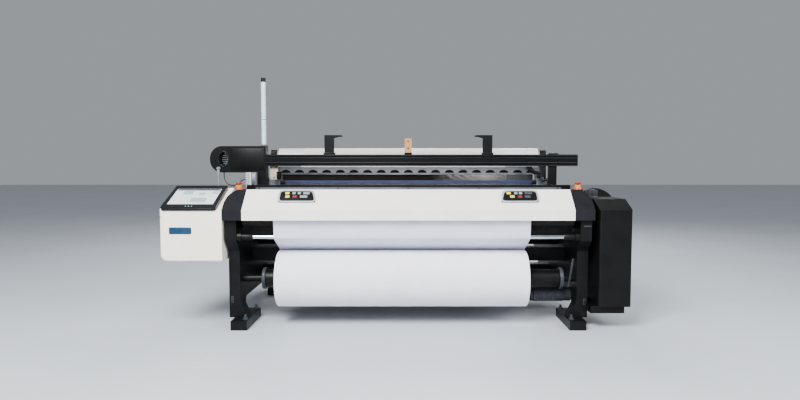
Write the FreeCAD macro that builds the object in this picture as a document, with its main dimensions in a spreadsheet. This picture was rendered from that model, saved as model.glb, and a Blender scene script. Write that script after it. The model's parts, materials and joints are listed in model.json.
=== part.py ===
import FreeCAD, Part
import math
import os
import re

import Sketcher

# A rapier weaving machine (power loom) for cloth about 1.7 m wide.
# X runs along the machine, Y from the weaver's side to the warp beam, Z up.
# The origin is on the floor, in the middle of the four anchor holes.

SIZES = {
    # side frames and feet
    "frame_half": 1150, "frame_wall": 75, "frame_top": 870, "leg_front": 640, "leg_depth": 100,
    "arch_height": 180, "arch_slope": 60, "bulge_front": 720, "bulge_low": 600, "bulge_high": 790,
    "shoulder_front": 630, "shoulder_rear": 690, "bearing_reach": 830, "bearing_half": 100,
    "foot_height": 62, "foot_inset": 70, "foot_over": 40, "foot_reach": 750, "foot_length": 400,
    "anchor_reach": 450, "anchor_radius": 11, "gusset_height": 110, "gusset_toe": 17, "frame_round": 24,
    "running_gap": 0.05, "soft_gap": 0.3,
    # cross beams
    "tie_size": 100, "tie_front_y": -300, "tie_front_z": 400, "tie_rear_y": 150, "tie_rear_z": 200,
    # front cover and its end caps
    "cover_front": 750, "cover_back": 600, "cover_bottom": 739, "cover_ridge": 806, "cover_top": 937,
    "cover_inset": 45, "cover_skin": 4, "cover_lip": 26, "cover_shelf": 40,
    "cap_gap": 12, "cap_back": 520, "cap_skin": 6, "cap_shoulder": 90, "cap_foot": 10,
    # control cabinet and tablet
    "cabinet_width": 410, "cabinet_bottom": 466, "cabinet_crest": 440, "cabinet_top": 940,
    "cabinet_back": 400, "cabinet_round": 46, "cabinet_edge": 12,
    "tablet_width": 362, "tablet_depth": 330, "tablet_thick": 24, "tablet_inset": 12, "tablet_round": 14,
    "tablet_overhang": 6, "screen_width": 304, "screen_depth": 228, "screen_thick": 1.5,
    # drive cabinet, motor and gearboxes
    "drive_gap": 44, "drive_width": 217, "drive_bottom": 160, "drive_crest": 596, "drive_top": 873,
    "drive_back": 330, "drive_edge": 14, "base_bottom": 110, "base_width": 227, "base_inset": 30,
    "motor_y": -30, "motor_z": 470, "motor_radius": 110, "motor_length": 255,
    "gearbox_width": 275, "gearbox_front": -112, "gearbox_back": 50, "gearbox_low": 650,
    "gearbox_high": 868, "gearbox_bore": 60,
    # top beam, its post and the guides on it
    "beam_inset": 46, "beam_over": 157, "beam_front": -30, "beam_depth": 70, "beam_low": 1094,
    "beam_height": 90, "beam_groove": 6, "post_width": 60, "post_low": 800, "post_front": -20,
    "post_depth": 50, "guide_inner": 577, "guide_outer": 652, "guide_tip": 516, "guide_height": 150,
    "guide_arm": 26, "guide_thick": 20, "wood_left": 29, "wood_width": 54, "wood_height": 123,
    # rapier housing with its ring, selector and signal lamp
    "housing_over": 387, "housing_low": 1044, "housing_high": 1249, "housing_leg_over": 70,
    "housing_front": -20, "housing_depth": 90, "housing_round": 95, "ring_wall": 68,
    "ring_width": 74, "ring_low": 1090, "ring_high": 1204, "ring_round": 34,
    "selector_over": 95, "selector_width": 80, "selector_front": -80, "selector_back": -35,
    "selector_top": 1046, "lamp_inset": 24, "lamp_radius": 18, "lamp_length": 481, "lamp_cap_height": 33,
    "lamp_base_radius": 24, "lamp_base_height": 13,
    # cloth line: breast beam, sand roller, press roller, guide bar, cloth roll
    "cloth_left": 904, "cloth_right": 819, "cloth_skin": 1, "warp_level": 900, "fell_y": -205,
    "breast_front": 490, "breast_back": 290, "breast_deep": 120, "nose_radius": 20, "cloth_gap": 0.3,
    "temple_bar_front": -430, "temple_bar_depth": 60, "temple_bar_over": 15, "temple_bar_height": 47,
    "temple_end": 60, "temple_length": 190, "temple_reach": 70, "temple_under": 3, "temple_rise": 42,
    "temple_over": 46,
    "sand_z": 692, "sand_radius": 70, "sand_inset": 30, "sand_journal": 25,
    "press_radius": 45, "press_angle": 154.2, "press_inset": 40, "press_journal": 14,
    "bar_y": -680, "bar_z": 622, "bar_radius": 16,
    "roll_y": -540, "roll_z": 316, "roll_radius": 195, "core_radius": 63, "core_left_gap": 140,
    "core_right_gap": 80, "collar_radius": 72, "collar_width": 22, "roll_journal": 25,
    "takeup_y": -450, "takeup_z": 187, "takeup_radius": 50, "takeup_length": 280,
    # warp line: backrest and warp beam
    "backrest_y": 600, "backrest_z": 1174, "backrest_radius": 70, "backrest_gap": 17,
    "backrest_journal": 20, "bracket_foot": 80, "bracket_head": 50, "bracket_rise": 56,
    "bracket_wall": 40, "warp_beam_y": 740, "warp_beam_z": 450, "flange_radius": 400,
    "flange_wall": 25, "barrel_radius": 90, "yarn_radius": 330, "beam_journal": 35,
    "shaft_end": 10, "lease_y": 165,
    # sley and reed
    "rocker_y": -60, "rocker_z": 520, "rocker_radius": 30, "sley_gap": 160, "sley_front": -150,
    "sley_back": -60, "sley_low": 790, "sley_top": 850, "sword_width": 30, "sword_front": -110,
    "sword_depth": 60, "sword_inner": 300, "sword_outer": 850,
    "reed_gap": 200, "reed_front": -110, "reed_depth": 18, "reed_rise": 85, "reed_baulk": 22,
    "reed_end": 15,
    # heald frames and their guides
    "heald_gap": 114, "heald_stay": 26, "heald_reach": 186, "heald_stave": 50,
    "heald_first": 87, "heald_thick": 10, "heald_pitch": 16, "groove_depth": 10, "guide_low": 800,
    "guide_top": 1000, "guide_edge": 10,
    # rapier wheels, tapes and heads
    "wheel_offset": 175, "wheel_radius": 150, "wheel_front": -150, "wheel_width": 27, "wheel_web": 9,
    "wheel_rim": 15, "wheel_hub": 35, "wheel_shaft": 20, "tape_level": 912, "tape_thick": 2,
    "tape_width": 25, "head_over": 15, "head_length": 75, "head_low": 903, "head_high": 921,
    "head_taper": 20, "guard_gap": 12, "guard_skin": 6, "guard_slot": 895,
    # stop buttons and key pads
    "stop_over": 18, "stop_y": -560, "stop_flange": 31, "stop_flange_height": 9, "stop_body": 22,
    "stop_body_height": 22, "stop_head": 20, "stop_head_height": 14, "stop_travel": 4, "stop_stem": 6,
    "stop_bore": 16,
    "pad_inner": 623, "pad_outer": 872, "pad_low": 75, "pad_depth": 105, "pad_thick": 8,
    "pad_slant": 24,
}

# Places worked out from the driving sizes, each in terms of those above.
PLACES = {
    "frame_outer": "frame_half + frame_wall",
    "foot_inner": "frame_half - foot_inset",
    "foot_outer": "frame_half + foot_over",
    "cover_half": "frame_half - cover_inset",
    "cap_outer": "frame_outer + cap_gap",
    "cabinet_outer": "cap_outer + cabinet_width",
    "tablet_left": "cabinet_outer - tablet_inset",
    "drive_inner": "frame_outer + drive_gap",
    "drive_outer": "drive_inner + drive_width",
    "base_outer": "frame_outer + base_width",
    "gearbox_outer": "frame_outer + gearbox_width",
    "beam_left": "frame_half - beam_inset",
    "beam_right": "frame_half + beam_over",
    "housing_left": "frame_half + housing_over",
    "housing_leg": "frame_half + housing_leg_over",
    "ring_left": "housing_left - ring_wall",
    "ring_right": "ring_left - ring_width",
    "selector_left": "frame_half + selector_over",
    "selector_right": "selector_left - selector_width",
    "lamp_x": "-(frame_half - lamp_inset)",
    "sand_end": "frame_half - sand_inset",
    "press_end": "frame_half - press_inset",
    "core_left": "frame_half - core_left_gap",
    "core_right": "frame_half - core_right_gap",
    "backrest_end": "frame_half - backrest_gap",
    "heald_half": "frame_half - heald_gap",
    "sley_half": "frame_half - sley_gap",
    "reed_half": "frame_half - reed_gap",
    "wheel_x": "frame_outer + wheel_offset",
    "head_tip": "reed_half + head_over",
    "stop_x": "frame_half + stop_over",
    "facet_slope": "(cover_top - cover_ridge) / (cover_front - cover_back)",
    "facet_drop": "cover_skin * sqrt(1 + facet_slope ^ 2)",
    "cap_drop": "cap_skin * sqrt(1 + facet_slope ^ 2)",
    "cabinet_slope": "(cabinet_top - cover_ridge) / (cover_front - cabinet_crest)",
    "cloth_width": "cloth_left + cloth_right",
    "breast_top": "warp_level - cloth_skin / 2 - cloth_gap",
    "breast_low": "warp_level - breast_deep",
    "temple_bar_low": "warp_level + temple_bar_over",
    "temple_low": "warp_level + temple_under",
    "reed_top": "warp_level + reed_rise",
    "heald_low": "warp_level - heald_reach",
    "sand_y": "-breast_front - sand_radius - cloth_skin - 3 * cloth_gap",
    "press_reach": "sand_radius + press_radius + cloth_skin + 3 * cloth_gap",
    "press_y": "sand_y + press_reach * cos(press_angle)",
    "press_z": "sand_z + press_reach * sin(press_angle)",
    "beam_top": "beam_low + beam_height",
    "housing_right": "beam_left",
    "wheel_z": "tape_level - tape_thick / 2 - soft_gap - wheel_radius",
    "tape_front": "wheel_front + (wheel_width - tape_width) / 2",
    "groove_wall": "heald_half - groove_depth",
    "stop_top": "cover_top + stop_flange_height + stop_body_height",
    "bracket_top": "backrest_z + bracket_rise",
    "gusset_low": "foot_inner + gusset_toe",
}

doc = FreeCAD.newDocument("power_loom")
sheet = doc.addObject("Spreadsheet::Sheet", "dims")
for row, (alias, number) in enumerate(SIZES.items(), 1):
    sheet.set("A%d" % row, alias)
    sheet.set("B%d" % row, str(number))
    sheet.setAlias("B%d" % row, alias)
doc.recompute()

PARTS = {}
X_AXIS = FreeCAD.Vector(1, 0, 0)
Y_AXIS = FreeCAD.Vector(0, 1, 0)
ALONG_X = FreeCAD.Rotation(Y_AXIS, 90)
ALONG_Y = FreeCAD.Rotation(X_AXIS, -90)


def formula(text):
    """The text with each size as a cell of the sheet and each place as its own formula."""

    def swap(match):
        word = match.group(0)
        if word in PLACES:
            return "(" + formula(PLACES[word]) + ")"
        return "dims." + word if word in SIZES else word

    return re.sub(r"[A-Za-z_]+", swap, str(text))


def value(text):
    """The number that a formula gives now."""
    return float(sheet.evalExpression(formula(text)))


def bind(thing, name, text):
    thing.setExpression(name, formula(text))


def place(thing, x=0, y=0, z=0):
    for letter, text in zip("xyz", (x, y, z)):
        bind(thing, "Placement.Base." + letter, text)
    return thing


def keep(thing, node):
    """Mark a finished object as the sub-part of that name."""
    thing.Label = node
    PARTS[node] = thing
    return thing


def box(name, x, y, z, length, width, height):
    """A block from its low corner."""
    thing = doc.addObject("Part::Box", name)
    bind(thing, "Length", length)
    bind(thing, "Width", width)
    bind(thing, "Height", height)
    return place(thing, x, y, z)


def rod(name, x, y, z, radius, length, turn=ALONG_X):
    """A round bar from the centre of its first end."""
    thing = doc.addObject("Part::Cylinder", name)
    thing.Placement = FreeCAD.Placement(FreeCAD.Vector(), turn)
    bind(thing, "Radius", radius)
    bind(thing, "Height", length)
    return place(thing, x, y, z)


def cut(name, base, tools):
    tool = fuse(name + "_tools", tools) if len(tools) > 1 else tools[0]
    thing = doc.addObject("Part::Cut", name)
    thing.Base = base
    thing.Tool = tool
    return thing


def fuse(name, shapes):
    thing = doc.addObject("Part::MultiFuse", name)
    thing.Shapes = shapes
    return thing


def common(name, shapes):
    thing = doc.addObject("Part::MultiCommon", name)
    thing.Shapes = shapes
    return thing


def group(name, shapes):
    """Separate solids that belong to one sub-part."""
    thing = doc.addObject("Part::Compound", name)
    thing.Links = shapes
    return thing


def outline(body, plane, points):
    """A closed sketch of straight lines on one of the body's planes, each corner bound to the sheet."""
    sketch = body.newObject("Sketcher::SketchObject", body.Name + "_outline")
    support = [o for o in body.Origin.OriginFeatures if o.Role == plane][0]
    sketch.AttachmentSupport = [(support, "")]
    sketch.MapMode = "FlatFace"
    corners = [FreeCAD.Vector(value(a), value(b), 0) for a, b in points]
    count = len(points)
    for i in range(count):
        sketch.addGeometry(Part.LineSegment(corners[i], corners[(i + 1) % count]), False)
    for i in range(count):
        sketch.addConstraint(Sketcher.Constraint("Coincident", i, 2, (i + 1) % count, 1))
    for i, pair in enumerate(points):
        for kind, text, now in zip(("DistanceX", "DistanceY"), pair, (corners[i].x, corners[i].y)):
            if str(text) == "0":
                on_axis = Sketcher.Constraint("PointOnObject", i, 1, -2 if kind == "DistanceX" else -1)
                sketch.addConstraint(on_axis)
                continue
            index = sketch.addConstraint(Sketcher.Constraint(kind, -1, 1, i, 1, now))
            sketch.setExpression("Constraints[%d]" % index, formula(text))
    return sketch


def padded(name, plane, points, length, x=0, y=0, z=0):
    """An outline made solid along +X, +Y or +Z, then moved to its place."""
    body = doc.addObject("PartDesign::Body", name)
    sketch = outline(body, plane, points)
    pad = body.newObject("PartDesign::Pad", name + "_pad")
    pad.Profile = sketch
    pad.Reversed = plane == "XZ_Plane"
    bind(pad, "Length", length)
    return place(body, x, y, z)


def turned(name, plane, axis, points, x=0, y=0, z=0):
    """An outline turned a full circle about its sketch's own axis."""
    body = doc.addObject("PartDesign::Body", name)
    sketch = outline(body, plane, points)
    spin = body.newObject("PartDesign::Revolution", name + "_spin")
    spin.Profile = sketch
    spin.ReferenceAxis = (sketch, [axis])
    spin.Angle = 360
    return place(body, x, y, z)


def rounded(body, radius, wanted):
    """Round the straight edges of a body that a test picks out by direction and middle point."""
    doc.recompute()
    tip = body.Tip
    names = []
    for index, edge in enumerate(tip.Shape.Edges, 1):
        ends = [v.Point for v in edge.Vertexes]
        if len(ends) == 2 and wanted((ends[1] - ends[0]).normalize(), edge.CenterOfMass):
            names.append("Edge%d" % index)
    fillet = body.newObject("PartDesign::Fillet", body.Name + "_round")
    fillet.Base = (tip, names)
    bind(fillet, "Radius", radius)
    return body


def side_of(side, inner, width):
    """The low X of a block that reaches outwards from inner by width, on that side."""
    return inner if side > 0 else "-(%s) - (%s)" % (inner, width)


def signed(side, text):
    return text if side > 0 else "-(%s)" % text


SIDES = ((-1, "left"), (1, "right"))


# Structure ------------------------------------------------------------------------------

def side_frames():
    """Cast side frames: two legs with an arch between them and bored seats for every shaft."""
    edge = [
        ("-leg_front", "foot_height"),
        ("-leg_front", "bulge_low - (bulge_front - leg_front)"),
        ("-bulge_front", "bulge_low"),
        ("-bulge_front", "bulge_high"),
        ("-shoulder_front", "frame_top"),
        ("shoulder_rear", "frame_top"),
        ("bearing_reach", "warp_beam_z + bearing_half"),
        ("bearing_reach", "warp_beam_z - bearing_half"),
        ("leg_front", "warp_beam_z - bearing_half - arch_slope"),
        ("leg_front", "foot_height"),
        ("leg_front - leg_depth", "foot_height"),
        ("leg_front - leg_depth - arch_slope", "arch_height"),
        ("-(leg_front - leg_depth - arch_slope)", "arch_height"),
        ("-(leg_front - leg_depth)", "foot_height"),
    ]
    bores = (
        ("roll", "roll_y", "roll_z", "roll_journal"),
        ("sand", "sand_y", "sand_z", "sand_journal"),
        ("press", "press_y", "press_z", "press_journal"),
        ("rocker", "rocker_y", "rocker_z", "rocker_radius"),
        ("warp", "warp_beam_y", "warp_beam_z", "beam_journal"),
    )
    for side, word in SIDES:
        low_x = side_of(side, "frame_half", "frame_wall")
        plate = padded(word + "_plate", "YZ_Plane", edge, "frame_wall", low_x)
        floor_side = value("foot_height") + 1
        rounded(plate, "frame_round", lambda d, mid: abs(d.x) > 0.9 and mid.z > floor_side)
        tools = [rod("%s_%s_bore" % (word, name), low_x, y, z, radius + " + running_gap", "frame_wall")
                 for name, y, z, radius in bores]
        keep(cut(word + "_frame_cut", plate, tools), word + "_side_frame")


def machine_feet():
    """Four cast feet: a plate with an anchor hole and a gusset up the leg's inner face."""
    feet = []
    for side, word in SIDES:
        gusset = [
            (signed(side, "gusset_low"), "foot_height"),
            (signed(side, "frame_half"), "foot_height"),
            (signed(side, "frame_half"), "foot_height + gusset_height"),
        ]
        for end, low_y, hole_y, rib_y in (
            ("front", "-foot_reach", "-anchor_reach", "-leg_front"),
            ("rear", "foot_reach - foot_length", "anchor_reach", "leg_front - leg_depth"),
        ):
            name = "%s_%s_" % (end, word)
            plate = box(name + "plate", side_of(side, "foot_inner", "foot_outer - foot_inner"), low_y, 0,
                        "foot_outer - foot_inner", "foot_length", "foot_height")
            rib = padded(name + "gusset", "XZ_Plane", gusset, "leg_depth", 0, rib_y)
            solid = fuse(name + "casting", [plate, rib])
            hole = rod(name + "hole", signed(side, "(foot_inner + foot_outer) / 2"), hole_y, 0,
                       "anchor_radius", "foot_height", FreeCAD.Rotation())
            feet.append(cut(name + "foot", solid, [hole]))
    keep(group("feet", feet), "machine_feet")


def cross_beams():
    for node, y, z in (("front_cross_beam", "tie_front_y", "tie_front_z"),
                       ("rear_cross_beam", "tie_rear_y", "tie_rear_z")):
        keep(box(node, "-frame_half", y, z, "2 * frame_half", "tie_size", "tie_size"), node)


def breast_beam():
    """Table that carries the cloth, with a round nose where the cloth turns down."""
    edge = [("-breast_front", "breast_low"), ("-breast_back", "breast_low"),
            ("-breast_back", "breast_top"), ("-breast_front", "breast_top")]
    beam = padded("breast", "YZ_Plane", edge, "2 * frame_half", "-frame_half")
    half = (value("breast_top") + value("breast_low")) / 2
    nose = -value("breast_front") + 1
    rounded(beam, "nose_radius", lambda d, mid: abs(d.x) > 0.9 and mid.z > half and mid.y < nose)
    keep(beam, "breast_beam")


# Covers and cabinets --------------------------------------------------------------------

def front_cover():
    """Folded sheet cover: a lip, an upright facet, a sloping facet and a shelf."""
    edge = [
        ("-cover_front + cover_lip", "cover_bottom"),
        ("-cover_front", "cover_bottom"),
        ("-cover_front", "cover_ridge"),
        ("-cover_back", "cover_top"),
        ("-cover_back + cover_shelf", "cover_top"),
        ("-cover_back + cover_shelf", "cover_top - cover_skin"),
        ("-cover_front + (cover_top - cover_skin - cover_ridge + facet_drop) / facet_slope",
         "cover_top - cover_skin"),
        ("-cover_front + cover_skin", "cover_ridge + facet_slope * cover_skin - facet_drop"),
        ("-cover_front + cover_skin", "cover_bottom + cover_skin"),
        ("-cover_front + cover_lip", "cover_bottom + cover_skin"),
    ]
    keep(padded("cover", "YZ_Plane", edge, "2 * cover_half", "-cover_half"), "front_cover")


def frame_covers():
    """Moulded end caps with a round shoulder, open below, that sit on the side frames."""
    outer = [
        ("-cover_front", "cover_bottom"),
        ("-cover_front", "cover_ridge"),
        ("-cover_back", "cover_top"),
        ("-cap_back", "cover_top"),
        ("-cap_back", "frame_top"),
        ("-cap_back - cap_foot", "frame_top"),
        ("-cover_back", "cover_bottom"),
    ]
    inner = [
        ("-cover_front + cap_skin", "cover_bottom - cap_skin"),
        ("-cover_front + cap_skin", "cover_ridge + facet_slope * cap_skin - cap_drop"),
        ("-cover_front + (cover_top - cap_skin - cover_ridge + cap_drop) / facet_slope",
         "cover_top - cap_skin"),
        ("-cap_back - cap_skin", "cover_top - cap_skin"),
        ("-cap_back - cap_skin", "cover_bottom - cap_skin"),
    ]
    width = "cap_outer - cover_half"
    depth = "cover_front - cap_back"
    for side, word in SIDES:
        name = word + "_cap_"
        low_x = side_of(side, "cover_half", width)
        shells = []
        for kind, profile, skin in (("outer", outer, "0"), ("inner", inner, "cap_skin")):
            side_view = padded(name + kind + "_side", "YZ_Plane", profile, width, low_x)
            front = [
                (signed(side, "cover_half"), "cover_bottom - cap_skin"),
                (signed(side, "cap_outer - " + skin), "cover_bottom - cap_skin"),
                (signed(side, "cap_outer - " + skin), "cover_top - " + skin),
                (signed(side, "cover_half"), "cover_top - " + skin),
            ]
            front_view = padded(name + kind + "_front", "XZ_Plane", front, depth, 0, "-cover_front")
            reach = value("cap_outer - " + skin) - 1
            crown = value("cover_top - " + skin) - 1
            rounded(front_view, "cap_shoulder - " + skin,
                    lambda d, mid, r=reach, c=crown: abs(d.y) > 0.9 and abs(mid.x) > r and mid.z > c)
            shells.append(common(name + kind, [side_view, front_view]))
        keep(cut(name + "shell", shells[0], [shells[1]]), word + "_frame_cover")


def control_cabinet():
    edge = [("-cover_front", "cabinet_bottom"), ("-cover_front", "cover_ridge"),
            ("-cabinet_crest", "cabinet_top"), ("-cabinet_back", "cabinet_top"),
            ("-cabinet_back", "cabinet_bottom")]
    case = padded("cabinet", "YZ_Plane", edge, "cabinet_outer - cap_outer", "-cabinet_outer")
    rounded(case, "cabinet_round",
            lambda d, mid: abs(d.y) > 0.99 and mid.x < 1 and mid.z < value("cabinet_bottom") + 1)
    face = -value("cover_front") + 1
    rounded(case, "cabinet_edge", lambda d, mid: abs(d.z) > 0.99 and mid.x < 1 and mid.y < face)
    keep(case, "control_cabinet")
    keep(box("cabinet_arm", "-cap_outer", "-cabinet_back - foot_length / 2", "cabinet_bottom + tie_size",
             "cap_outer - frame_outer", "foot_length / 2", "tie_size"), "cabinet_bracket")


def tablet():
    """Touch panel that lies on the cabinet's sloping top, and the display glass on it."""
    case = padded("tablet", "XY_Plane",
                  [(0, 0), ("tablet_width", 0), ("tablet_width", "tablet_depth"), (0, "tablet_depth")],
                  "tablet_thick")
    rounded(case, "tablet_round", lambda d, mid: abs(d.z) > 0.99)
    margin = "(tablet_depth - screen_depth) / 2"
    glass = doc.addObject("Part::Box", "glass")
    bind(glass, "Length", "screen_width")
    bind(glass, "Width", "screen_depth")
    bind(glass, "Height", "screen_thick")
    for thing, x, up, along in (
        (case, "-tablet_left", "0", "-tablet_overhang"),
        (glass, "-tablet_left + (tablet_width - screen_width) / 2", "tablet_thick",
         "%s - tablet_overhang" % margin),
    ):
        thing.Placement = FreeCAD.Placement(FreeCAD.Vector(), FreeCAD.Rotation(X_AXIS, 10))
        bind(thing, "Placement.Rotation.Angle", "atan(cabinet_slope)")
        angle = "atan(cabinet_slope)"
        place(thing, x,
              "-cover_front + (%s) * cos(%s) - (%s) * sin(%s)" % (along, angle, up, angle),
              "cover_ridge + (%s) * sin(%s) + (%s) * cos(%s)" % (along, angle, up, angle))
    keep(case, "tablet_case")
    keep(glass, "tablet_screen")


def drive_cabinet():
    edge = [("-cover_front", "drive_bottom"), ("-cover_front", "cover_ridge"),
            ("-drive_crest", "drive_top"), ("-drive_back", "drive_top"),
            ("-drive_back", "drive_bottom")]
    case = padded("drive_case", "YZ_Plane", edge, "drive_outer - drive_inner", "drive_inner")
    face = -value("cover_front") + 1
    rounded(case, "drive_edge", lambda d, mid: abs(d.z) > 0.99 and mid.y < face)
    keep(case, "drive_cabinet")
    keep(box("drive_base", "frame_outer", "-cover_front + base_inset", "base_bottom",
             "base_outer - frame_outer", "cover_front - drive_back - 2 * base_inset",
             "drive_bottom - base_bottom"), "drive_cabinet_base")
    keep(rod("motor", "frame_outer", "motor_y", "motor_z", "motor_radius", "motor_length"), "main_motor")


# Top beam, housing and lamp -------------------------------------------------------------

def top_beam():
    """Extruded beam with a groove near each edge of its front face."""
    low, high = "beam_low", "beam_top"
    edge = [("beam_front", low), ("beam_front", low + " + beam_groove"),
            ("beam_front + beam_groove", low + " + 2 * beam_groove"),
            ("beam_front", low + " + 3 * beam_groove"),
            ("beam_front", high + " - 5 * beam_groove"),
            ("beam_front + beam_groove", high + " - 4 * beam_groove"),
            ("beam_front", high + " - 3 * beam_groove"), ("beam_front", high),
            ("beam_front + beam_depth", high), ("beam_front + beam_depth", low)]
    keep(padded("beam", "YZ_Plane", edge, "beam_left + beam_right", "-beam_left"), "top_beam")
    keep(box("post", "frame_half - post_width", "post_front", "post_low", "post_width", "post_depth",
             "beam_low - post_low"), "beam_post")
    middle = "beam_front + (beam_depth - guide_thick) / 2"
    hooks = []
    for side, word in SIDES:
        arm = [
            ("guide_inner", "beam_top"),
            ("guide_outer", "beam_top"),
            ("guide_outer", "beam_top + guide_height"),
            ("guide_tip", "beam_top + guide_height"),
            ("guide_tip", "beam_top + guide_height - guide_arm / 3"),
            ("guide_inner", "beam_top + guide_height - guide_arm"),
        ]
        edge = [(signed(side, a), b) for a, b in arm]
        hooks.append(padded(word + "_hook", "XZ_Plane", edge, "guide_thick", 0, middle))
    keep(group("hooks", hooks), "frame_guides")
    keep(box("wood", "-wood_left", middle, "beam_top", "wood_width", "guide_thick", "wood_height"),
         "centre_guide")


def rapier_housing():
    """Black housing on the left frame, with a round-ended ring that guards the tape."""
    edge = [("-housing_right", "frame_top"), ("-housing_right", "housing_high"),
            ("-housing_left", "housing_high"), ("-housing_left", "housing_low"),
            ("-housing_leg", "housing_low"), ("-housing_leg", "frame_top")]
    case = padded("housing", "XZ_Plane", edge, "housing_depth", 0, "housing_front")
    far = -value("housing_left") + 1
    rounded(case, "housing_round", lambda d, mid: abs(d.y) > 0.9 and mid.x < far)
    hole = [("-ring_left", "ring_low"), ("-ring_right", "ring_low"),
            ("-ring_right", "ring_high"), ("-ring_left", "ring_high")]
    eye = padded("ring_eye", "XZ_Plane", hole, "housing_depth", 0, "housing_front")
    rounded(eye, "ring_round", lambda d, mid: abs(d.y) > 0.9)
    keep(cut("housing_cut", case, [eye]), "rapier_housing")
    keep(box("selector", "-selector_left", "selector_front", "frame_top",
             "selector_left - selector_right", "selector_back - selector_front",
             "selector_top - frame_top"), "weft_selector")
    middle = "housing_front + housing_depth / 2"
    foot = "housing_high + lamp_base_height"
    up = FreeCAD.Rotation()
    keep(rod("lamp_foot", "lamp_x", middle, "housing_high", "lamp_base_radius", "lamp_base_height", up),
         "lamp_base")
    keep(rod("lamp_column", "lamp_x", middle, foot, "lamp_radius", "lamp_length", up), "lamp_tube")
    keep(rod("lamp_top", "lamp_x", middle, foot + " + lamp_length", "lamp_radius", "lamp_cap_height", up),
         "lamp_cap")


# A sensor cable hangs in a loop from under the ring to the selector.
CABLE_RADIUS = 4
CABLE_ROUTE = [
    (-1443, 25, 1044), (-1443, 25, 1006), (-1430, 14, 972), (-1399, 0, 948), (-1356, -16, 943),
    (-1318, -33, 955), (-1296, -45, 975), (-1273, -53, 992), (-1245, -53, 992),
]


def sensor_cable():
    """Straight runs joined by arcs as large as the runs allow, swept with a round section."""
    points = [FreeCAD.Vector(*p) for p in CABLE_ROUTE]
    edges = []
    start = points[0]
    for before, corner, after in zip(points, points[1:], points[2:]):
        come = (corner - before).normalize()
        go = (after - corner).normalize()
        half = come.getAngle(go) / 2
        reach = 0.45 * min((corner - before).Length, (after - corner).Length)
        print("cable arc radius %.1f mm" % (reach / math.tan(half)))
        enter, leave = corner - come * reach, corner + go * reach
        middle = corner + (go - come).normalize() * (
            reach / math.tan(half) / math.cos(half) - reach / math.tan(half))
        edges += [Part.LineSegment(start, enter).toShape(), Part.Arc(enter, middle, leave).toShape()]
        start = leave
    edges.append(Part.LineSegment(start, points[-1]).toShape())
    path = Part.Wire(edges)
    ring = Part.Wire([Part.makeCircle(CABLE_RADIUS, points[0], points[1] - points[0])])
    tube = path.makePipeShell([ring], True, True)
    print("cable length %.1f mm, volume / (section * length) %.4f" % (
        path.Length, tube.Volume / (math.pi * CABLE_RADIUS ** 2 * path.Length)))
    thing = doc.addObject("Part::Feature", "cable")
    thing.Shape = tube
    thing.Placement = FreeCAD.Placement()
    keep(thing, "sensor_cable")


# Cloth and warp -------------------------------------------------------------------------

def belt_side(stops, side, near, far):
    """One face of a sheet that runs over round stops (y, z, radius, turn), as a list of edges."""
    grown = []
    for y, z, radius, turn in stops:
        extra = near if turn == side else far
        grown.append((FreeCAD.Vector(0, y, z), radius + extra if turn else 0, turn))
    runs = []
    for (c1, r1, t1), (c2, r2, t2) in zip(grown, grown[1:]):
        span = c2 - c1
        lean = math.asin((t2 * r2 - t1 * r1) / span.Length)
        heading = math.atan2(span.z, span.y) - lean
        normal = FreeCAD.Vector(0, -math.sin(heading), math.cos(heading))
        runs.append((c1 - normal * t1 * r1, c2 - normal * t2 * r2, heading))
    edges = []
    for i, (start, end, heading) in enumerate(runs):
        if i:
            centre, radius, turn = grown[i]
            before, after = runs[i - 1][1], start
            if turn:
                swing = (heading - runs[i - 1][2]) * turn % (2 * math.pi) * turn
                first = math.atan2((before - centre).z, (before - centre).y)
                half = first + swing / 2
                middle = centre + FreeCAD.Vector(0, math.cos(half), math.sin(half)) * radius
                edges.append(Part.Arc(before, middle, after).toShape())
        edges.append(Part.LineSegment(start, end).toShape())
    return edges, runs[0][0], runs[-1][1]


def sheet_over(name, stops, skin, gap):
    """A thin sheet of the cloth's width that runs over the stops at a small gap."""
    left, left_start, left_end = belt_side(stops, 1, gap, gap + skin)
    right, right_start, right_end = belt_side(stops, -1, gap, gap + skin)
    if (left_start - right_start).Length < skin / 2:
        raise ValueError(name + " has no thickness at its start")
    loop = left + [Part.LineSegment(left_end, right_end).toShape()] + right[::-1]
    loop.append(Part.LineSegment(right_start, left_start).toShape())
    wire = Part.Wire(Part.__sortEdges__(loop))
    solid = Part.Face(wire).extrude(FreeCAD.Vector(value("cloth_width"), 0, 0))
    thing = doc.addObject("Part::Feature", name)
    thing.Shape = solid
    thing.Placement = FreeCAD.Placement(FreeCAD.Vector(-value("cloth_left"), 0, 0), FreeCAD.Rotation())
    return thing


def start_stop(y, z, turn):
    """A tiny stop that gives a sheet its thickness at a free end."""
    return (value(y), value(z), 0.2, turn)


def cloth_sheets():
    """Cloth from the fell to the roll, and warp from the fell over the backrest to its beam."""
    gap, skin = value("cloth_gap"), value("cloth_skin")
    level = "warp_level - cloth_skin / 2 - cloth_gap"
    cloth = [
        start_stop("fell_y", level + " - 0.2", 1),
        (value("-breast_front + nose_radius"), value("breast_top - nose_radius"), value("nose_radius"), 1),
        (value("sand_y"), value("sand_z"), value("sand_radius"), -1),
        (value("press_y"), value("press_z"), value("press_radius"), 1),
        (value("bar_y"), value("bar_z"), value("bar_radius"), 1),
        (value("roll_y"), value("roll_z"), value("roll_radius"), -1),
    ]
    keep(sheet_over("cloth", cloth, skin, gap), "cloth_sheet")
    warp = [
        start_stop("fell_y", level + " - 0.2", -1),
        (value("lease_y"), value("warp_level") + 1, 0.2, 1),
        (value("backrest_y"), value("backrest_z"), value("backrest_radius"), -1),
        (value("warp_beam_y"), value("warp_beam_z"), value("yarn_radius"), -1),
    ]
    keep(sheet_over("warp", warp, skin, gap), "warp_sheet")


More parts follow.
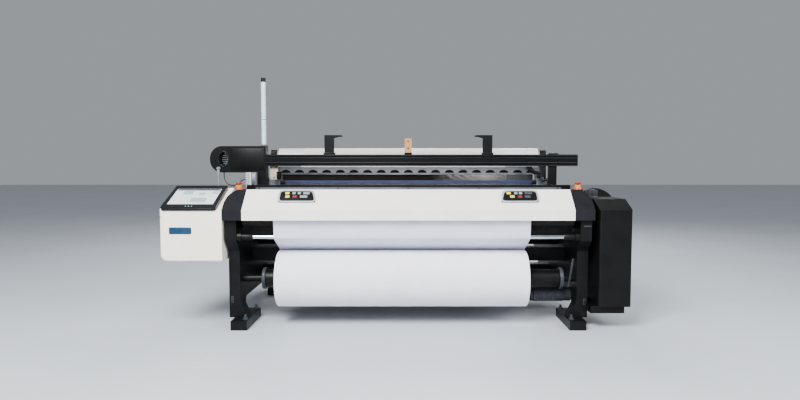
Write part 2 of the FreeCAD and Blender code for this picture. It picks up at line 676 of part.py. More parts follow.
def temples():
    """Bar over the breast beam with a temple at each cloth edge."""
    bar = box("temple_rail", "-frame_half", "temple_bar_front", "temple_bar_low", "2 * frame_half",
              "temple_bar_depth", "temple_bar_height")
    feet = [box(word + "_rail_foot", side_of(side, "frame_half - temple_end", "temple_end"),
                "temple_bar_front", "breast_top", "temple_end", "temple_bar_depth",
                "temple_bar_low - breast_top") for side, word in SIDES]
    keep(fuse("temple_bar_whole", [bar] + feet), "temple_bar")
    back = "temple_bar_front + temple_bar_depth"
    heads = []
    for word, low_x in (("left", "-cloth_left - temple_over"),
                        ("right", "cloth_right + temple_over - temple_length")):
        heads.append(box(word + "_temple_head", low_x, back, "temple_low", "temple_length",
                         "temple_reach", "temple_rise"))
    keep(group("temple_pair", heads), "temples")


# Rollers and beams ----------------------------------------------------------------------

def roller(node, y, z, radius, left, right, journal):
    """A roller with a journal at each end that runs in the side frames."""
    end = "frame_outer - shaft_end"
    edge = [("-(%s)" % end, 0), ("-(%s)" % end, journal), ("-(%s)" % left, journal),
            ("-(%s)" % left, radius), (right, radius), (right, journal), (end, journal), (end, 0)]
    return keep(turned(node + "_body", "XY_Plane", "H_Axis", edge, 0, y, z), node)


def rollers():
    roller("sand_roller", "sand_y", "sand_z", "sand_radius", "sand_end", "sand_end", "sand_journal")
    roller("press_roller", "press_y", "press_z", "press_radius", "press_end", "press_end", "press_journal")
    keep(rod("chrome_bar", "-frame_half", "bar_y", "bar_z", "bar_radius", "2 * frame_half"), "guide_bar")
    keep(rod("takeup", "frame_half - takeup_length", "takeup_y", "takeup_z", "takeup_radius",
             "takeup_length"), "take_up_motor")
    end = "frame_outer - shaft_end"
    edge = [("-(%s)" % end, 0), ("-(%s)" % end, "roll_journal"), ("-core_left", "roll_journal"),
            ("-core_left", "collar_radius"), ("-core_left + collar_width", "collar_radius"),
            ("-core_left + collar_width", "core_radius"), ("core_right - collar_width", "core_radius"),
            ("core_right - collar_width", "collar_radius"), ("core_right", "collar_radius"),
            ("core_right", "roll_journal"), (end, "roll_journal"), (end, 0)]
    keep(turned("core", "XY_Plane", "H_Axis", edge, 0, "roll_y", "roll_z"), "roll_core")
    edge = [("-cloth_left", "core_radius"), ("-cloth_left", "roll_radius"),
            ("cloth_right", "roll_radius"), ("cloth_right", "core_radius")]
    keep(turned("roll", "XY_Plane", "H_Axis", edge, 0, "roll_y", "roll_z"), "cloth_roll")


def backrest():
    reach = "frame_half + bracket_wall - shaft_end / 2"
    edge = [("-(%s)" % reach, 0), ("-(%s)" % reach, "backrest_journal"),
            ("-backrest_end", "backrest_journal"), ("-backrest_end", "backrest_radius"),
            ("backrest_end", "backrest_radius"), ("backrest_end", "backrest_journal"),
            (reach, "backrest_journal"), (reach, 0)]
    keep(turned("backrest", "XY_Plane", "H_Axis", edge, 0, "backrest_y", "backrest_z"),
         "backrest_roller")
    edge = [("backrest_y - bracket_foot", "frame_top"), ("backrest_y + bracket_foot", "frame_top"),
            ("backrest_y + bracket_head", "bracket_top"), ("backrest_y - bracket_head", "bracket_top")]
    plates = []
    for side, word in SIDES:
        low_x = side_of(side, "frame_half", "bracket_wall")
        plate = padded(word + "_bracket", "YZ_Plane", edge, "bracket_wall", low_x)
        crown = value("bracket_top") - 1
        rounded(plate, "frame_round", lambda d, mid: abs(d.x) > 0.9 and mid.z > crown)
        bore = rod(word + "_bracket_bore", low_x, "backrest_y", "backrest_z",
                   "backrest_journal + running_gap", "bracket_wall")
        plates.append(cut(word + "_bracket_cut", plate, [bore]))
    keep(group("bracket_pair", plates), "backrest_brackets")


def warp_beam():
    """Barrel with a flange at each edge of the yarn, and the yarn wound between them."""
    end = "frame_outer - shaft_end"
    edge = [("-(%s)" % end, 0), ("-(%s)" % end, "beam_journal"),
            ("-cloth_left - flange_wall", "beam_journal"), ("-cloth_left - flange_wall", "flange_radius"),
            ("-cloth_left", "flange_radius"), ("-cloth_left", "barrel_radius"),
            ("cloth_right", "barrel_radius"), ("cloth_right", "flange_radius"),
            ("cloth_right + flange_wall", "flange_radius"), ("cloth_right + flange_wall", "beam_journal"),
            (end, "beam_journal"), (end, 0)]
    keep(turned("beam_spool", "XY_Plane", "H_Axis", edge, 0, "warp_beam_y", "warp_beam_z"), "warp_beam")
    edge = [("-cloth_left", "barrel_radius"), ("-cloth_left", "yarn_radius"),
            ("cloth_right", "yarn_radius"), ("cloth_right", "barrel_radius")]
    keep(turned("yarn", "XY_Plane", "H_Axis", edge, 0, "warp_beam_y", "warp_beam_z"), "warp_yarn")


# Sley, reed and heald frames ------------------------------------------------------------

def sley():
    """Rocker shaft, four swords and the beam that carries the reed, as one weldment."""
    end = "frame_outer - shaft_end"
    pieces = [rod("rocker", "-(%s)" % end, "rocker_y", "rocker_z", "rocker_radius", "2 * (%s)" % end)]
    for side, word in SIDES:
        for row, reach in (("inner", "sword_inner"), ("outer", "sword_outer")):
            pieces.append(box("%s_%s_sword" % (word, row), signed(side, reach) + " - sword_width / 2",
                              "sword_front", "rocker_z", "sword_width", "sword_depth",
                              "sley_low - rocker_z"))
    pieces.append(box("sley_rail", "-sley_half", "sley_front", "sley_low", "2 * sley_half",
                      "sley_back - sley_front", "sley_top - sley_low"))
    keep(fuse("sley_whole", pieces), "sley")
    frame = box("reed_block", "-reed_half", "reed_front", "sley_top", "2 * reed_half", "reed_depth",
                "reed_top - sley_top")
    window = box("reed_window", "-reed_half + reed_end", "reed_front", "sley_top + reed_baulk",
                 "2 * (reed_half - reed_end)", "reed_depth", "reed_top - sley_top - 2 * reed_baulk")
    keep(cut("reed_cut", frame, [window]), "reed")


HEALD_COUNT = 4


def heald_frames():
    """Four open frames, one behind the other, and grooved guides for their end stays."""
    for number in range(HEALD_COUNT):
        low_y = "heald_first + %d * heald_pitch" % number
        name = "heald_%d_" % (number + 1)
        block = box(name + "block", "-heald_half", low_y, "heald_low", "2 * heald_half", "heald_thick",
                    "2 * heald_reach")
        window = box(name + "window", "-heald_half + heald_stay", low_y, "heald_low + heald_stave",
                     "2 * (heald_half - heald_stay)", "heald_thick",
                     "2 * (heald_reach - heald_stave)")
        keep(cut(name + "cut", block, [window]), "heald_frame_%d" % (number + 1))
    span = "%d * heald_pitch + heald_thick" % (HEALD_COUNT - 1)
    guides = []
    for side, word in SIDES:
        width = "frame_half - groove_wall"
        block = box(word + "_guide_block", side_of(side, "groove_wall", width),
                    "heald_first - guide_edge", "guide_low", width, span + " + 2 * guide_edge",
                    "guide_top - guide_low")
        grooves = [box("%s_groove_%d" % (word, number + 1),
                       side_of(side, "groove_wall", "groove_depth + soft_gap"),
                       "heald_first + %d * heald_pitch - soft_gap" % number, "guide_low",
                       "groove_depth + soft_gap", "heald_thick + 2 * soft_gap", "guide_top - guide_low")
                   for number in range(HEALD_COUNT)]
        guides.append(cut(word + "_guide_cut", block, grooves))
    keep(group("guide_pair", guides), "heald_guides")


# Rapiers --------------------------------------------------------------------------------

def rapiers():
    """Tape wheels on their gearboxes, guards over them, and a head on each tape."""
    rim, web, width = "wheel_radius - wheel_rim", "wheel_web", "wheel_width"
    wheel = [(0, 0), ("wheel_hub", 0), ("wheel_hub", web), (rim, web), (rim, 0), ("wheel_radius", 0),
             ("wheel_radius", width), (rim, width), (rim, "wheel_width - wheel_web"),
             ("wheel_hub", "wheel_width - wheel_web"), ("wheel_hub", width), ("wheel_shaft", width),
             ("wheel_shaft", "gearbox_front + gearbox_bore - wheel_front - 4"),
             (0, "gearbox_front + gearbox_bore - wheel_front - 4")]
    ring = "wheel_radius + guard_gap"
    cover = "wheel_radius + guard_gap + guard_skin"
    guard_front = "wheel_front - guard_gap - guard_skin"
    depth = "gearbox_front - (%s)" % guard_front
    boxes, guards = [], []
    for side, word in SIDES:
        x = signed(side, "wheel_x")
        keep(turned(word + "_wheel", "XY_Plane", "V_Axis", wheel, x, "wheel_front", "wheel_z"),
             word + "_rapier_wheel")
        case = box(word + "_gear_case", side_of(side, "frame_outer", "gearbox_outer - frame_outer"),
                   "gearbox_front", "gearbox_low", "gearbox_outer - frame_outer",
                   "gearbox_back - gearbox_front", "gearbox_high - gearbox_low")
        bore = rod(word + "_gear_bore", x, "gearbox_front", "wheel_z", "wheel_shaft + running_gap",
                   "gearbox_bore", ALONG_Y)
        boxes.append(cut(word + "_gear_cut", case, [bore]))
        shell = rod(word + "_guard_shell", x, guard_front, "wheel_z", cover, depth, ALONG_Y)
        hollow = rod(word + "_guard_hollow", x, guard_front + " + guard_skin", "wheel_z", ring, depth,
                     ALONG_Y)
        slot = box(word + "_guard_slot", side_of(side, "frame_outer", "wheel_x - frame_outer"),
                   guard_front + " + guard_skin", "guard_slot", "wheel_x - frame_outer", depth,
                   "wheel_radius")
        guards.append(cut(word + "_guard_cut", shell, [hollow, slot]))
        tip, back = "head_tip", "head_tip + head_length"
        nose = [(tip, "head_low"), (back, "head_low"), (back, "head_high"),
                (tip + " + head_taper", "head_high"), (tip, "(head_low + head_high) / 2")]
        edge = [(signed(side, a), b) for a, b in nose]
        keep(padded(word + "_head", "XZ_Plane", edge, "tape_width", 0, "tape_front"),
             word + "_rapier_head")
        keep(box(word + "_ribbon", side_of(side, back, "wheel_x - (%s)" % back), "tape_front",
                 "tape_level - tape_thick / 2", "wheel_x - (%s)" % back, "tape_width", "tape_thick"),
             word + "_rapier_tape")
    keep(group("gear_pair", boxes), "rapier_gearboxes")
    keep(group("guard_pair", guards), "wheel_guards")


# Stop buttons and key pads --------------------------------------------------------------

def stop_buttons():
    """A collar and body on each end cap, with a mushroom button that presses down."""
    bodies = []
    up = FreeCAD.Rotation()
    for side, word in SIDES:
        x = signed(side, "stop_x")
        collar = rod(word + "_stop_collar", x, "stop_y", "cover_top", "stop_flange",
                     "stop_flange_height", up)
        barrel = rod(word + "_stop_barrel", x, "stop_y", "cover_top", "stop_body",
                     "stop_flange_height + stop_body_height", up)
        bore = rod(word + "_stop_bore", x, "stop_y", "stop_top - stop_bore", "stop_stem + running_gap",
                   "stop_bore", up)
        bodies.append(cut(word + "_stop_cut", fuse(word + "_stop_solid", [collar, barrel]), [bore]))
        edge = [(0, "-stop_bore + 2 * stop_travel"), ("stop_stem", "-stop_bore + 2 * stop_travel"),
                ("stop_stem", "stop_travel + 1"), ("stop_head", "stop_travel + 1"),
                ("stop_head", "stop_travel + 1 + stop_head_height / 2"),
                ("stop_head * 0.6", "stop_travel + 1 + stop_head_height"),
                (0, "stop_travel + 1 + stop_head_height")]
        keep(turned(word + "_mushroom", "XZ_Plane", "V_Axis", edge, x, "stop_y", "stop_top"),
             word + "_stop_button")
    keep(group("stop_pair", bodies), "stop_boxes")


def key_pads():
    """Slanted key pads that lie on the front cover's sloping facet."""
    angle = "atan(facet_slope)"
    for side, word in SIDES:
        edge = [(signed(side, a), b) for a, b in (
            ("pad_inner", 0), ("pad_outer", 0), ("pad_outer", "pad_depth"),
            ("pad_inner + pad_slant", "pad_depth"))]
        pad = padded(word + "_pad", "XY_Plane", edge, "pad_thick")
        pad.Placement = FreeCAD.Placement(FreeCAD.Vector(), FreeCAD.Rotation(X_AXIS, 10))
        bind(pad, "Placement.Rotation.Angle", angle)
        place(pad, 0, "-cover_front + pad_low * cos(%s)" % angle,
              "cover_ridge + pad_low * sin(%s)" % angle)
        keep(pad, word + "_key_pad")


for build in (side_frames, machine_feet, cross_beams, breast_beam, front_cover, frame_covers,
              control_cabinet, tablet, drive_cabinet, top_beam, rapier_housing, sensor_cable,
              cloth_sheets, temples, rollers, backrest, warp_beam, sley, heald_frames, rapiers,
              stop_buttons, key_pads):
    build()
doc.recompute()

for thing in doc.Objects:
    if "Invalid" in thing.State or "Error" in thing.State:
        raise RuntimeError("%s failed: %s" % (thing.Label, thing.State))
for node, thing in PARTS.items():
    if thing.Shape.isNull() or not thing.Shape.isValid() or thing.Shape.Volume <= 0:
        raise RuntimeError(node + " has no valid solid")

os.makedirs("parts", exist_ok=True)
for node, thing in PARTS.items():
    thing.Shape.exportStep("parts/%s.step" % node)
print("%d sub-parts written" % len(PARTS))
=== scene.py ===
# %% [markdown]
# # A rapier power loom, dressed round its CAD frame
# The frame holds every rigid piece of the loom at its real size and place. This lesson adds the rest:
# the cloth, the warp, the finishes, and the small pieces that make a machine look made and not drawn.
# All lengths are metres and the loom's front faces -Y.

# %% Load the frame and keep its box
import json
import math

import bpy
from mathutils import Matrix, Vector


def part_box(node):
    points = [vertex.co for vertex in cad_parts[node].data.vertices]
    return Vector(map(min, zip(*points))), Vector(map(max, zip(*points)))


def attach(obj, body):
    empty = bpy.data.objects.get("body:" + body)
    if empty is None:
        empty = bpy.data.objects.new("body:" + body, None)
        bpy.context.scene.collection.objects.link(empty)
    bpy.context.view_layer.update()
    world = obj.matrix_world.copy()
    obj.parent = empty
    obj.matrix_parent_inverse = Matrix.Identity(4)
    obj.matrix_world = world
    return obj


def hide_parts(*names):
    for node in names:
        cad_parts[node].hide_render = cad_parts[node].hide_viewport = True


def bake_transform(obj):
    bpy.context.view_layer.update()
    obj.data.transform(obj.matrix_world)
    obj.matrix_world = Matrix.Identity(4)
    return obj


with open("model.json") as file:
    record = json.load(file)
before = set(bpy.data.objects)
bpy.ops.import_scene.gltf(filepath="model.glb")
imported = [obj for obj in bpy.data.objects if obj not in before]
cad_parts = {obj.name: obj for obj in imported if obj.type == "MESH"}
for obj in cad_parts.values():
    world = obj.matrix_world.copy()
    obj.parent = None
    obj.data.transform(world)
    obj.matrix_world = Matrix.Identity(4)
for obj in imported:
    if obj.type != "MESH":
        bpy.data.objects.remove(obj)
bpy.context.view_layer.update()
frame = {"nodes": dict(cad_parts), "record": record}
NODES = frame["nodes"]

# %% [markdown]
# ## The camera
# A wide lens that stands about four metres in front of the loom at chest height, tipped down a little, shows
# the front faces and the tops of the covers together. A small sideways shift keeps the loom's middle where
# it belongs without turning the camera.

# %% Camera
eye = bpy.data.objects.new("camera", bpy.data.cameras.new("camera"))
bpy.context.scene.collection.objects.link(eye)
eye.data.lens = 28.0
eye.data.sensor_width = 36.0
eye.data.shift_x = -0.0105
eye.location = (0.0, -4.85, 1.126)
eye.rotation_euler = (math.radians(86.5), 0.0, 0.0)
bpy.context.scene.camera = eye
print("camera", tuple(eye.location))

# %% [markdown]
# ## Two helpers for the objects
# An operator works on whatever is selected, so each step first clears the selection. `settle` moves an
# object's place, turn and size into its mesh, which leaves the object itself at the origin.

# %% Selecting, naming and settling
def only(piece):
    """Select one piece and make it the active one."""
    if bpy.context.mode != "OBJECT":
        bpy.ops.object.mode_set(mode="OBJECT")
    bpy.ops.object.select_all(action="DESELECT")
    piece.select_set(True)
    bpy.context.view_layer.objects.active = piece
    return piece


def clear():
    """Select nothing."""
    if bpy.context.mode != "OBJECT":
        bpy.ops.object.mode_set(mode="OBJECT")
    bpy.ops.object.select_all(action="DESELECT")


def settle(name):
    """Name the object that was just added and put its place into its mesh."""
    piece = bpy.context.object
    piece.name = piece.data.name = name
    bpy.ops.object.transform_apply(location=True, rotation=True, scale=True)
    return piece


# %% [markdown]
# ## The sensor cable
# A limp black cable hangs from the underside of the rapier housing and swings across to the weft selector.
# It is a curve: a few control points in the order that the cable runs, and a smooth line that passes near
# them. Its real length is 293 mm.

# %% Sensor cable
CABLE_MM = [(-1443, 25, 1044), (-1443, 25, 1006), (-1430, 14, 972), (-1399, 0, 948), (-1356, -16, 943),
            (-1318, -33, 955), (-1296, -45, 975), (-1273, -53, 992), (-1245, -53, 992)]
CABLE_DIAMETER = 0.008


def cord_line(name, points_mm, diameter):
    """A round cord whose smooth line follows the points."""
    line = bpy.data.curves.new(name, "CURVE")
    line.dimensions = "3D"
    spline = line.splines.new("NURBS")
    spline.points.add(len(points_mm) - 1)
    for point, place in zip(spline.points, points_mm):
        point.co = (*[v / 1000 for v in place], 1.0)
    spline.order_u = 3
    spline.use_endpoint_u = True
    spline.resolution_u = 8
    line.bevel_depth = diameter / 2
    line.bevel_resolution = 4
    line.use_fill_caps = True
    cord = bpy.data.objects.new(name, line)
    bpy.context.scene.collection.objects.link(cord)
    return cord


cable = cord_line("sensor_cable_line", CABLE_MM, CABLE_DIAMETER)
print("cable control points", len(CABLE_MM))

# %% [markdown]
# ## Floor and light
# A pale floor that runs far back, a large soft light from the upper left, a weaker one from the right and a
# low fill from the front: enough to read black castings and white cloth at the same time.

# %% Floor
clear()
bpy.ops.mesh.primitive_plane_add(size=40.0, location=(0.0, 6.0, 0.0))
floor = settle("studio_floor")


# %% Lights
def soft_light(name, place, aim, size, power):
    """A square area light that points at a place."""
    lamp = bpy.data.lights.new(name, "AREA")
    lamp.size = size
    lamp.energy = power
    holder = bpy.data.objects.new(name, lamp)
    bpy.context.scene.collection.objects.link(holder)
    holder.location = place
    holder.rotation_euler = (Vector(aim) - Vector(place)).to_track_quat("-Z", "Y").to_euler()
    return holder


soft_light("key", (-1.8, -4.6, 4.6), (0.0, -0.3, 0.6), 2.6, 860.0)
soft_light("side", (3.8, -3.2, 3.0), (0.2, -0.2, 0.7), 2.4, 200.0)
soft_light("front_fill", (0.0, -6.0, 2.0), (0.0, 0.0, 0.8), 3.0, 60.0)
soft_light("back", (0.6, 4.6, 4.2), (0.0, 0.4, 0.9), 3.0, 320.0)
world = bpy.data.worlds.new("studio")
bpy.context.scene.world = world
world.use_nodes = True
world.node_tree.nodes["Background"].inputs["Color"].default_value = (0.80, 0.85, 0.9, 1.0)
world.node_tree.nodes["Background"].inputs["Strength"].default_value = 0.42

# %% [markdown]
# ## Making finishes
# Every finish is a node tree: a cloudy pattern mixes two close colours, a finer one changes the roughness
# and raises the surface a little. One function adds a node, one turns a hex colour into linear light, and
# one puts the usual chain together. The sizes are real ones, in millimetres.

# %% Node, colour and coating helpers
def add(tree, kind, values=None, links=None, **settings):
    """Add a node with its settings, the values of its inputs, and the outputs that feed it."""
    node = tree.nodes.new(kind)
    for key, setting in settings.items():
        setattr(node, key, setting)
    for socket, number in (values or {}).items():
        node.inputs[socket].default_value = number
    for socket, output in (links or {}).items():
        tree.links.new(output, node.inputs[socket])
    return node


def linear(hex_colour):
    """An sRGB hex colour as linear red, green, blue and alpha."""
    parts = [int(hex_colour[i:i + 2], 16) / 255 for i in (1, 3, 5)]
    return tuple(p / 12.92 if p <= 0.04045 else ((p + 0.055) / 1.055) ** 2.4 for p in parts) + (1.0,)


RED_GREEN_BLUE = 2          # the Mix node's colour output
FIRST_COLOUR, SECOND_COLOUR = 6, 7
FINISHES = {}


def blank(name, metal=0.0, ior=1.5, coat=0.0, coat_rough=0.1, sheen=0.0, shine=0.5):
    """A new finish with its fixed gloss values set on the shader, and its tree and shader."""
    finish = bpy.data.materials.new(name)
    finish.use_nodes = True
    shader = finish.node_tree.nodes["Principled BSDF"]
    shader.inputs["Metallic"].default_value = metal
    if not metal:
        shader.inputs["IOR"].default_value = ior
    shader.inputs["Specular IOR Level"].default_value = shine
    shader.inputs["Coat Weight"].default_value = coat
    shader.inputs["Coat Roughness"].default_value = coat_rough
    shader.inputs["Sheen Weight"].default_value = sheen
    return finish, finish.node_tree, shader


def blend_colours(tree, amount, low, high):
    """Mix two hex colours, or a colour with an earlier mix, by a pattern."""
    mix = add(tree, "ShaderNodeMix", None, {0: amount}, data_type="RGBA")
    for socket, colour in ((FIRST_COLOUR, low), (SECOND_COLOUR, high)):
        if isinstance(colour, str):
            mix.inputs[socket].default_value = linear(colour)
        else:
            tree.links.new(colour, mix.inputs[socket])
    return mix.outputs[RED_GREEN_BLUE]


def spread(tree, pattern, low, high, start=0.0, stop=1.0):
    """Stretch a pattern's values from start..stop onto low..high."""
    return add(tree, "ShaderNodeMapRange", {"From Min": start, "From Max": stop, "To Min": low, "To Max": high},
               {"Value": pattern}).outputs["Result"]


def wire(tree, shader, colour=None, rough=None, height=None, relief_mm=0.1):
    """Join a colour, a roughness and a height to the shader."""
    if colour is not None:
        tree.links.new(colour, shader.inputs["Base Color"])
    if rough is not None:
        tree.links.new(rough, shader.inputs["Roughness"])
    if height is not None:
        bump = add(tree, "ShaderNodeBump", {"Distance": relief_mm / 1000, "Strength": 1.0}, {"Height": height})
        tree.links.new(bump.outputs["Normal"], shader.inputs["Normal"])


def coating(name, light, dark, patch_mm, grain_mm, rough, relief_mm, stretch=(1, 1, 1), uneven=0.08, **gloss):
    """A finish with cloudy colour over patch_mm, and a grain_mm pattern in its gloss and its relief."""
    finish, tree, shader = blank(name, **gloss)
    place = add(tree, "ShaderNodeTexCoord").outputs["Object"]
    drawn = add(tree, "ShaderNodeMapping", {"Scale": stretch}, {"Vector": place}).outputs["Vector"]
    patch = add(tree, "ShaderNodeTexNoise", {"Scale": 1000 / patch_mm, "Detail": 4.0}, {"Vector": place})
    grain = add(tree, "ShaderNodeTexNoise", {"Scale": 1000 / grain_mm, "Detail": 2.0}, {"Vector": drawn})
    cloud = spread(tree, patch.outputs["Fac"], 0.0, 1.0, 0.35, 0.65)
    wire(tree, shader, blend_colours(tree, cloud, dark, light),
         spread(tree, grain.outputs["Fac"], rough - uneven, rough + uneven, 0.3, 0.7),
         grain.outputs["Fac"], relief_mm)
    return finish


# %% [markdown]
# ## Paints and powder coats
# Castings and guards are powder coated: powder melts into an even skin with a faint orange peel a few
# millimetres across. The white covers are the same skin over sheet steel. The patches are a touch lighter and
# darker, which is what keeps a large panel from looking printed.

# %% Paints
FINISHES["frame_paint"] = coating("powder_coated_casting", "#0c0d0f", "#070809", 90, 6, 0.44, 0.25, shine=0.15)
FINISHES["black_paint"] = coating("satin_black_enamel", "#0b0c0d", "#060708", 120, 5, 0.4, 0.12, shine=0.15)
FINISHES["cap_grey"] = coating("textured_grey_powder", "#17181c", "#121317", 110, 4, 0.5, 0.3, shine=0.15)
FINISHES["cover_white"] = coating("white_powder_coat", "#f6f4ee", "#efece5", 260, 5, 0.36, 0.08, coat=0.15)
FINISHES["cabinet_cream"] = coating("cream_powder_coat", "#fdf8ea", "#f7f0e0", 240, 5, 0.36, 0.1, coat=0.15)
FINISHES["motor_grey"] = coating("grey_hammered_paint", "#3a3d43", "#2b2d32", 25, 7, 0.4, 0.5, shine=0.2)
FINISHES["stop_yellow"] = coating("yellow_enamel", "#d08c00", "#c07a00", 40, 3, 0.34, 0.05)

# %% [markdown]
# ## Bare and anodised metal
# Turned and drawn metal carries fine lines along the way that it was worked, so its grain is squeezed along
# one axis. Black anodising keeps those lines under a thin dark skin.

# %% Metals
ALONG_X = (0.02, 1.0, 1.0)
AROUND_X = (1.0, 0.04, 0.04)
FINISHES["black_anodised"] = coating("black_anodised_extrusion", "#08090b", "#050607", 150, 3, 0.36, 0.06,
                                     ALONG_X, shine=0.12)
FINISHES["chrome"] = coating("hard_chrome_bar", "#e2e4e8", "#c9ccd2", 140, 2, 0.14, 0.02, AROUND_X, 0.04,
                             metal=1.0)
FINISHES["steel"] = coating("ground_steel", "#b9bcc1", "#94979d", 60, 1.5, 0.33, 0.06, AROUND_X, metal=1.0)
FINISHES["aluminium"] = coating("matt_anodised_aluminium", "#c6c9cf", "#aeb2b9", 130, 2.5, 0.42, 0.06, ALONG_X,
                                metal=1.0)

# %% [markdown]
# ## Plastics and rubber
# Moulded ABS has a spark-eroded grain about a millimetre wide. The sand roller's grip skin is a coarse
# rubber that bites into the cloth, so its grain is deep and dull.

# %% Plastics and rubber
FINISHES["grey_plastic"] = coating("grey_moulded_abs", "#6f737a", "#5d6168", 50, 1.2, 0.5, 0.08)
FINISHES["tablet_black"] = coating("black_moulded_abs", "#151618", "#0f1011", 60, 1.2, 0.36, 0.06, shine=0.2)
FINISHES["grip_rubber"] = coating("grit_rubber_sleeve", "#1f1e1f", "#131213", 30, 4, 0.85, 0.9, uneven=0.1, shine=0.2)
FINISHES["cable_jacket"] = coating("soft_pvc_jacket", "#222326", "#191a1c", 20, 1.5, 0.55, 0.06)
FINISHES["stop_red"] = coating("glossy_red_button", "#a80408", "#930306", 30, 1.5, 0.24, 0.03, coat=0.4)
FINISHES["key_panel"] = coating("dark_membrane_panel", "#0e0f11", "#0a0b0c", 40, 1.5, 0.5, 0.05, shine=0.15)
FINISHES["lamp_diffuser"] = coating("frosted_polycarbonate", "#c9dde6", "#b8d0db", 60, 2, 0.36, 0.05, ior=1.58)
FINISHES["roller_white"] = coating("white_lacquered_tube", "#d3d6db", "#c4c8ce", 180, 4, 0.34, 0.08, AROUND_X)
FINISHES["reed_blue"] = coating("blue_lacquered_baulk", "#202a4e", "#161d39", 120, 3, 0.36, 0.08, ALONG_X)
FINISHES["display_glass"] = coating("lit_display_glass", "#eef1f4", "#e2e6ea", 150, 8, 0.1, 0.0, uneven=0.02,
                                    coat=0.8, coat_rough=0.03)

# %% [markdown]
# ## Wood
# The centre guide is a block of beech: warm brown with darker growth rings about five millimetres apart that
# run up the block and waver slightly.

# %% Wood
beech, wood_tree, wood_shader = blank("oiled_beech")
wood_place = add(wood_tree, "ShaderNodeTexCoord").outputs["Object"]
rings = add(wood_tree, "ShaderNodeTexWave", {"Scale": 35.0, "Distortion": 6.0, "Detail": 2.0},
            {"Vector": wood_place}, bands_direction="X")
wire(wood_tree, wood_shader, blend_colours(wood_tree, rings.outputs["Fac"], "#9c6238", "#c89262"),
     spread(wood_tree, rings.outputs["Fac"], 0.5, 0.62), rings.outputs["Fac"], 0.15)
FINISHES["wood"] = beech

# %% [markdown]
# ## Cloth, yarn and tape
# Plain-weave cloth is two sets of threads at right angles. At a real half millimetre they can't be seen, so
# they are drawn six times as coarse and very shallow: the eye then gets a soft matt surface with a little
# tooth. The pattern follows each piece's own unwrapped length. The rapier tape is woven carbon in resin.

# %% Cloth, yarn and tape
def woven(name, light, dark, thread_mm, relief_mm, rough, **gloss):
    """Two sets of threads over the piece's own unwrapped surface, which is measured in metres."""
    finish, tree, shader = blank(name, **gloss)
    flat = add(tree, "ShaderNodeTexCoord").outputs["UV"]
    bands = [add(tree, "ShaderNodeTexWave", {"Scale": 314.16 / (thread_mm * 2), "Distortion": 0.4}, {"Vector": flat},
                 bands_direction=way).outputs["Fac"] for way in "XY"]
    weave = add(tree, "ShaderNodeMath", None, {0: bands[0], 1: bands[1]}, operation="MULTIPLY").outputs[0]
    cloud = add(tree, "ShaderNodeTexNoise", {"Scale": 6.0, "Detail": 3.0}, {"Vector": flat}).outputs["Fac"]
    tone = add(tree, "ShaderNodeMath", None, {0: spread(tree, cloud, 0.0, 0.7, 0.3, 0.7),
                                              1: spread(tree, weave, 0.0, 0.3)}, operation="ADD").outputs[0]
    wire(tree, shader, blend_colours(tree, tone, dark, light), spread(tree, weave, rough + 0.05, rough - 0.05),
         weave, relief_mm)
    return finish


FINISHES["cloth"] = woven("bleached_plain_weave", "#f4f3f9", "#e9e8f2", 3.0, 0.12, 0.88, sheen=0.2)
# The web between fell and roll takes a darker, bluer copy of the same weave: painted shade.
FINISHES["cloth_sheet"] = woven("shaded_plain_weave", "#dcdcf0", "#cdcde4", 3.0, 0.12, 0.88, sheen=0.2)
FINISHES["tape"] = woven("carbon_rapier_tape", "#3a3b3e", "#1b1c1e", 2.0, 0.1, 0.35, coat=0.3)



def yarn(name, light, dark, thread_mm, section_mm):
    """Threads side by side across the loom: fine bands of one thread, and broad ones where two sections meet."""
    finish, tree, shader = blank(name, sheen=0.15)
    place = add(tree, "ShaderNodeTexCoord").outputs["Object"]
    fine, broad = [add(tree, "ShaderNodeTexWave", {"Scale": 314.16 / period, "Distortion": 0.3}, {"Vector": place},
                       bands_direction="X").outputs["Fac"] for period in (thread_mm, section_mm)]
    tone = add(tree, "ShaderNodeMath", None, {0: spread(tree, fine, 0.0, 0.6), 1: spread(tree, broad, 0.0, 0.4)},
               operation="ADD").outputs[0]
    wire(tree, shader, blend_colours(tree, tone, dark, light), spread(tree, fine, 0.86, 0.76), fine, 0.3)
    return finish


FINISHES["warp_yarn"] = yarn("sized_cotton_yarn", "#f1efee", "#cfccca", 4.0, 24.0)

# %% [markdown]
# ## Finishes on the CAD pieces
# The record says which slot each CAD piece takes its finish from, so one loop dresses the whole frame.

# %% Dress the CAD pieces
for part in frame["record"]["subparts"]:
    cad = NODES[part["node"]]
    for holder in cad.material_slots:
        holder.material = FINISHES[part["material_slot"]]
# The heald frames take a darker copy of the matt anodised aluminium: painted shade.
FINISHES["stave"] = coating("shaded_aluminium_stave", "#b4b7bd", "#9ea1a8", 130, 2.5, 0.45, 0.06, ALONG_X, metal=1.0)
OTHER_FINISHES = {"press_roller": "grip_rubber", "lamp_cap": "tablet_black",
                  **{"heald_frame_%d" % number: "stave" for number in range(1, 5)}}
for node, finish in OTHER_FINISHES.items():
    for holder in NODES[node].material_slots:
        holder.material = FINISHES[finish]
floor_paint = coating("pale_studio_floor", "#bdc3ca", "#b8bec5", 900, 12, 0.55, 0.02)
floor.data.materials.append(floor_paint)
cable.data.materials.append(FINISHES["cable_jacket"])
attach(cable, "frame")
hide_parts("sensor_cable")
print("finishes", len(FINISHES))

# %% [markdown]
# ## Modelling helpers
# Four ways of working make nearly every piece of this loom: a block with its edges eased, a rod between two
# points, an outline that is drawn corner by corner and pushed to its thickness, and a profile that is spun
# round an axis. `dress` gives a finished piece its finish, taken from its slot unless one is given, and the body that
# it moves with.

# %% Shapes
SIDES = (("left", -1), ("right", 1))


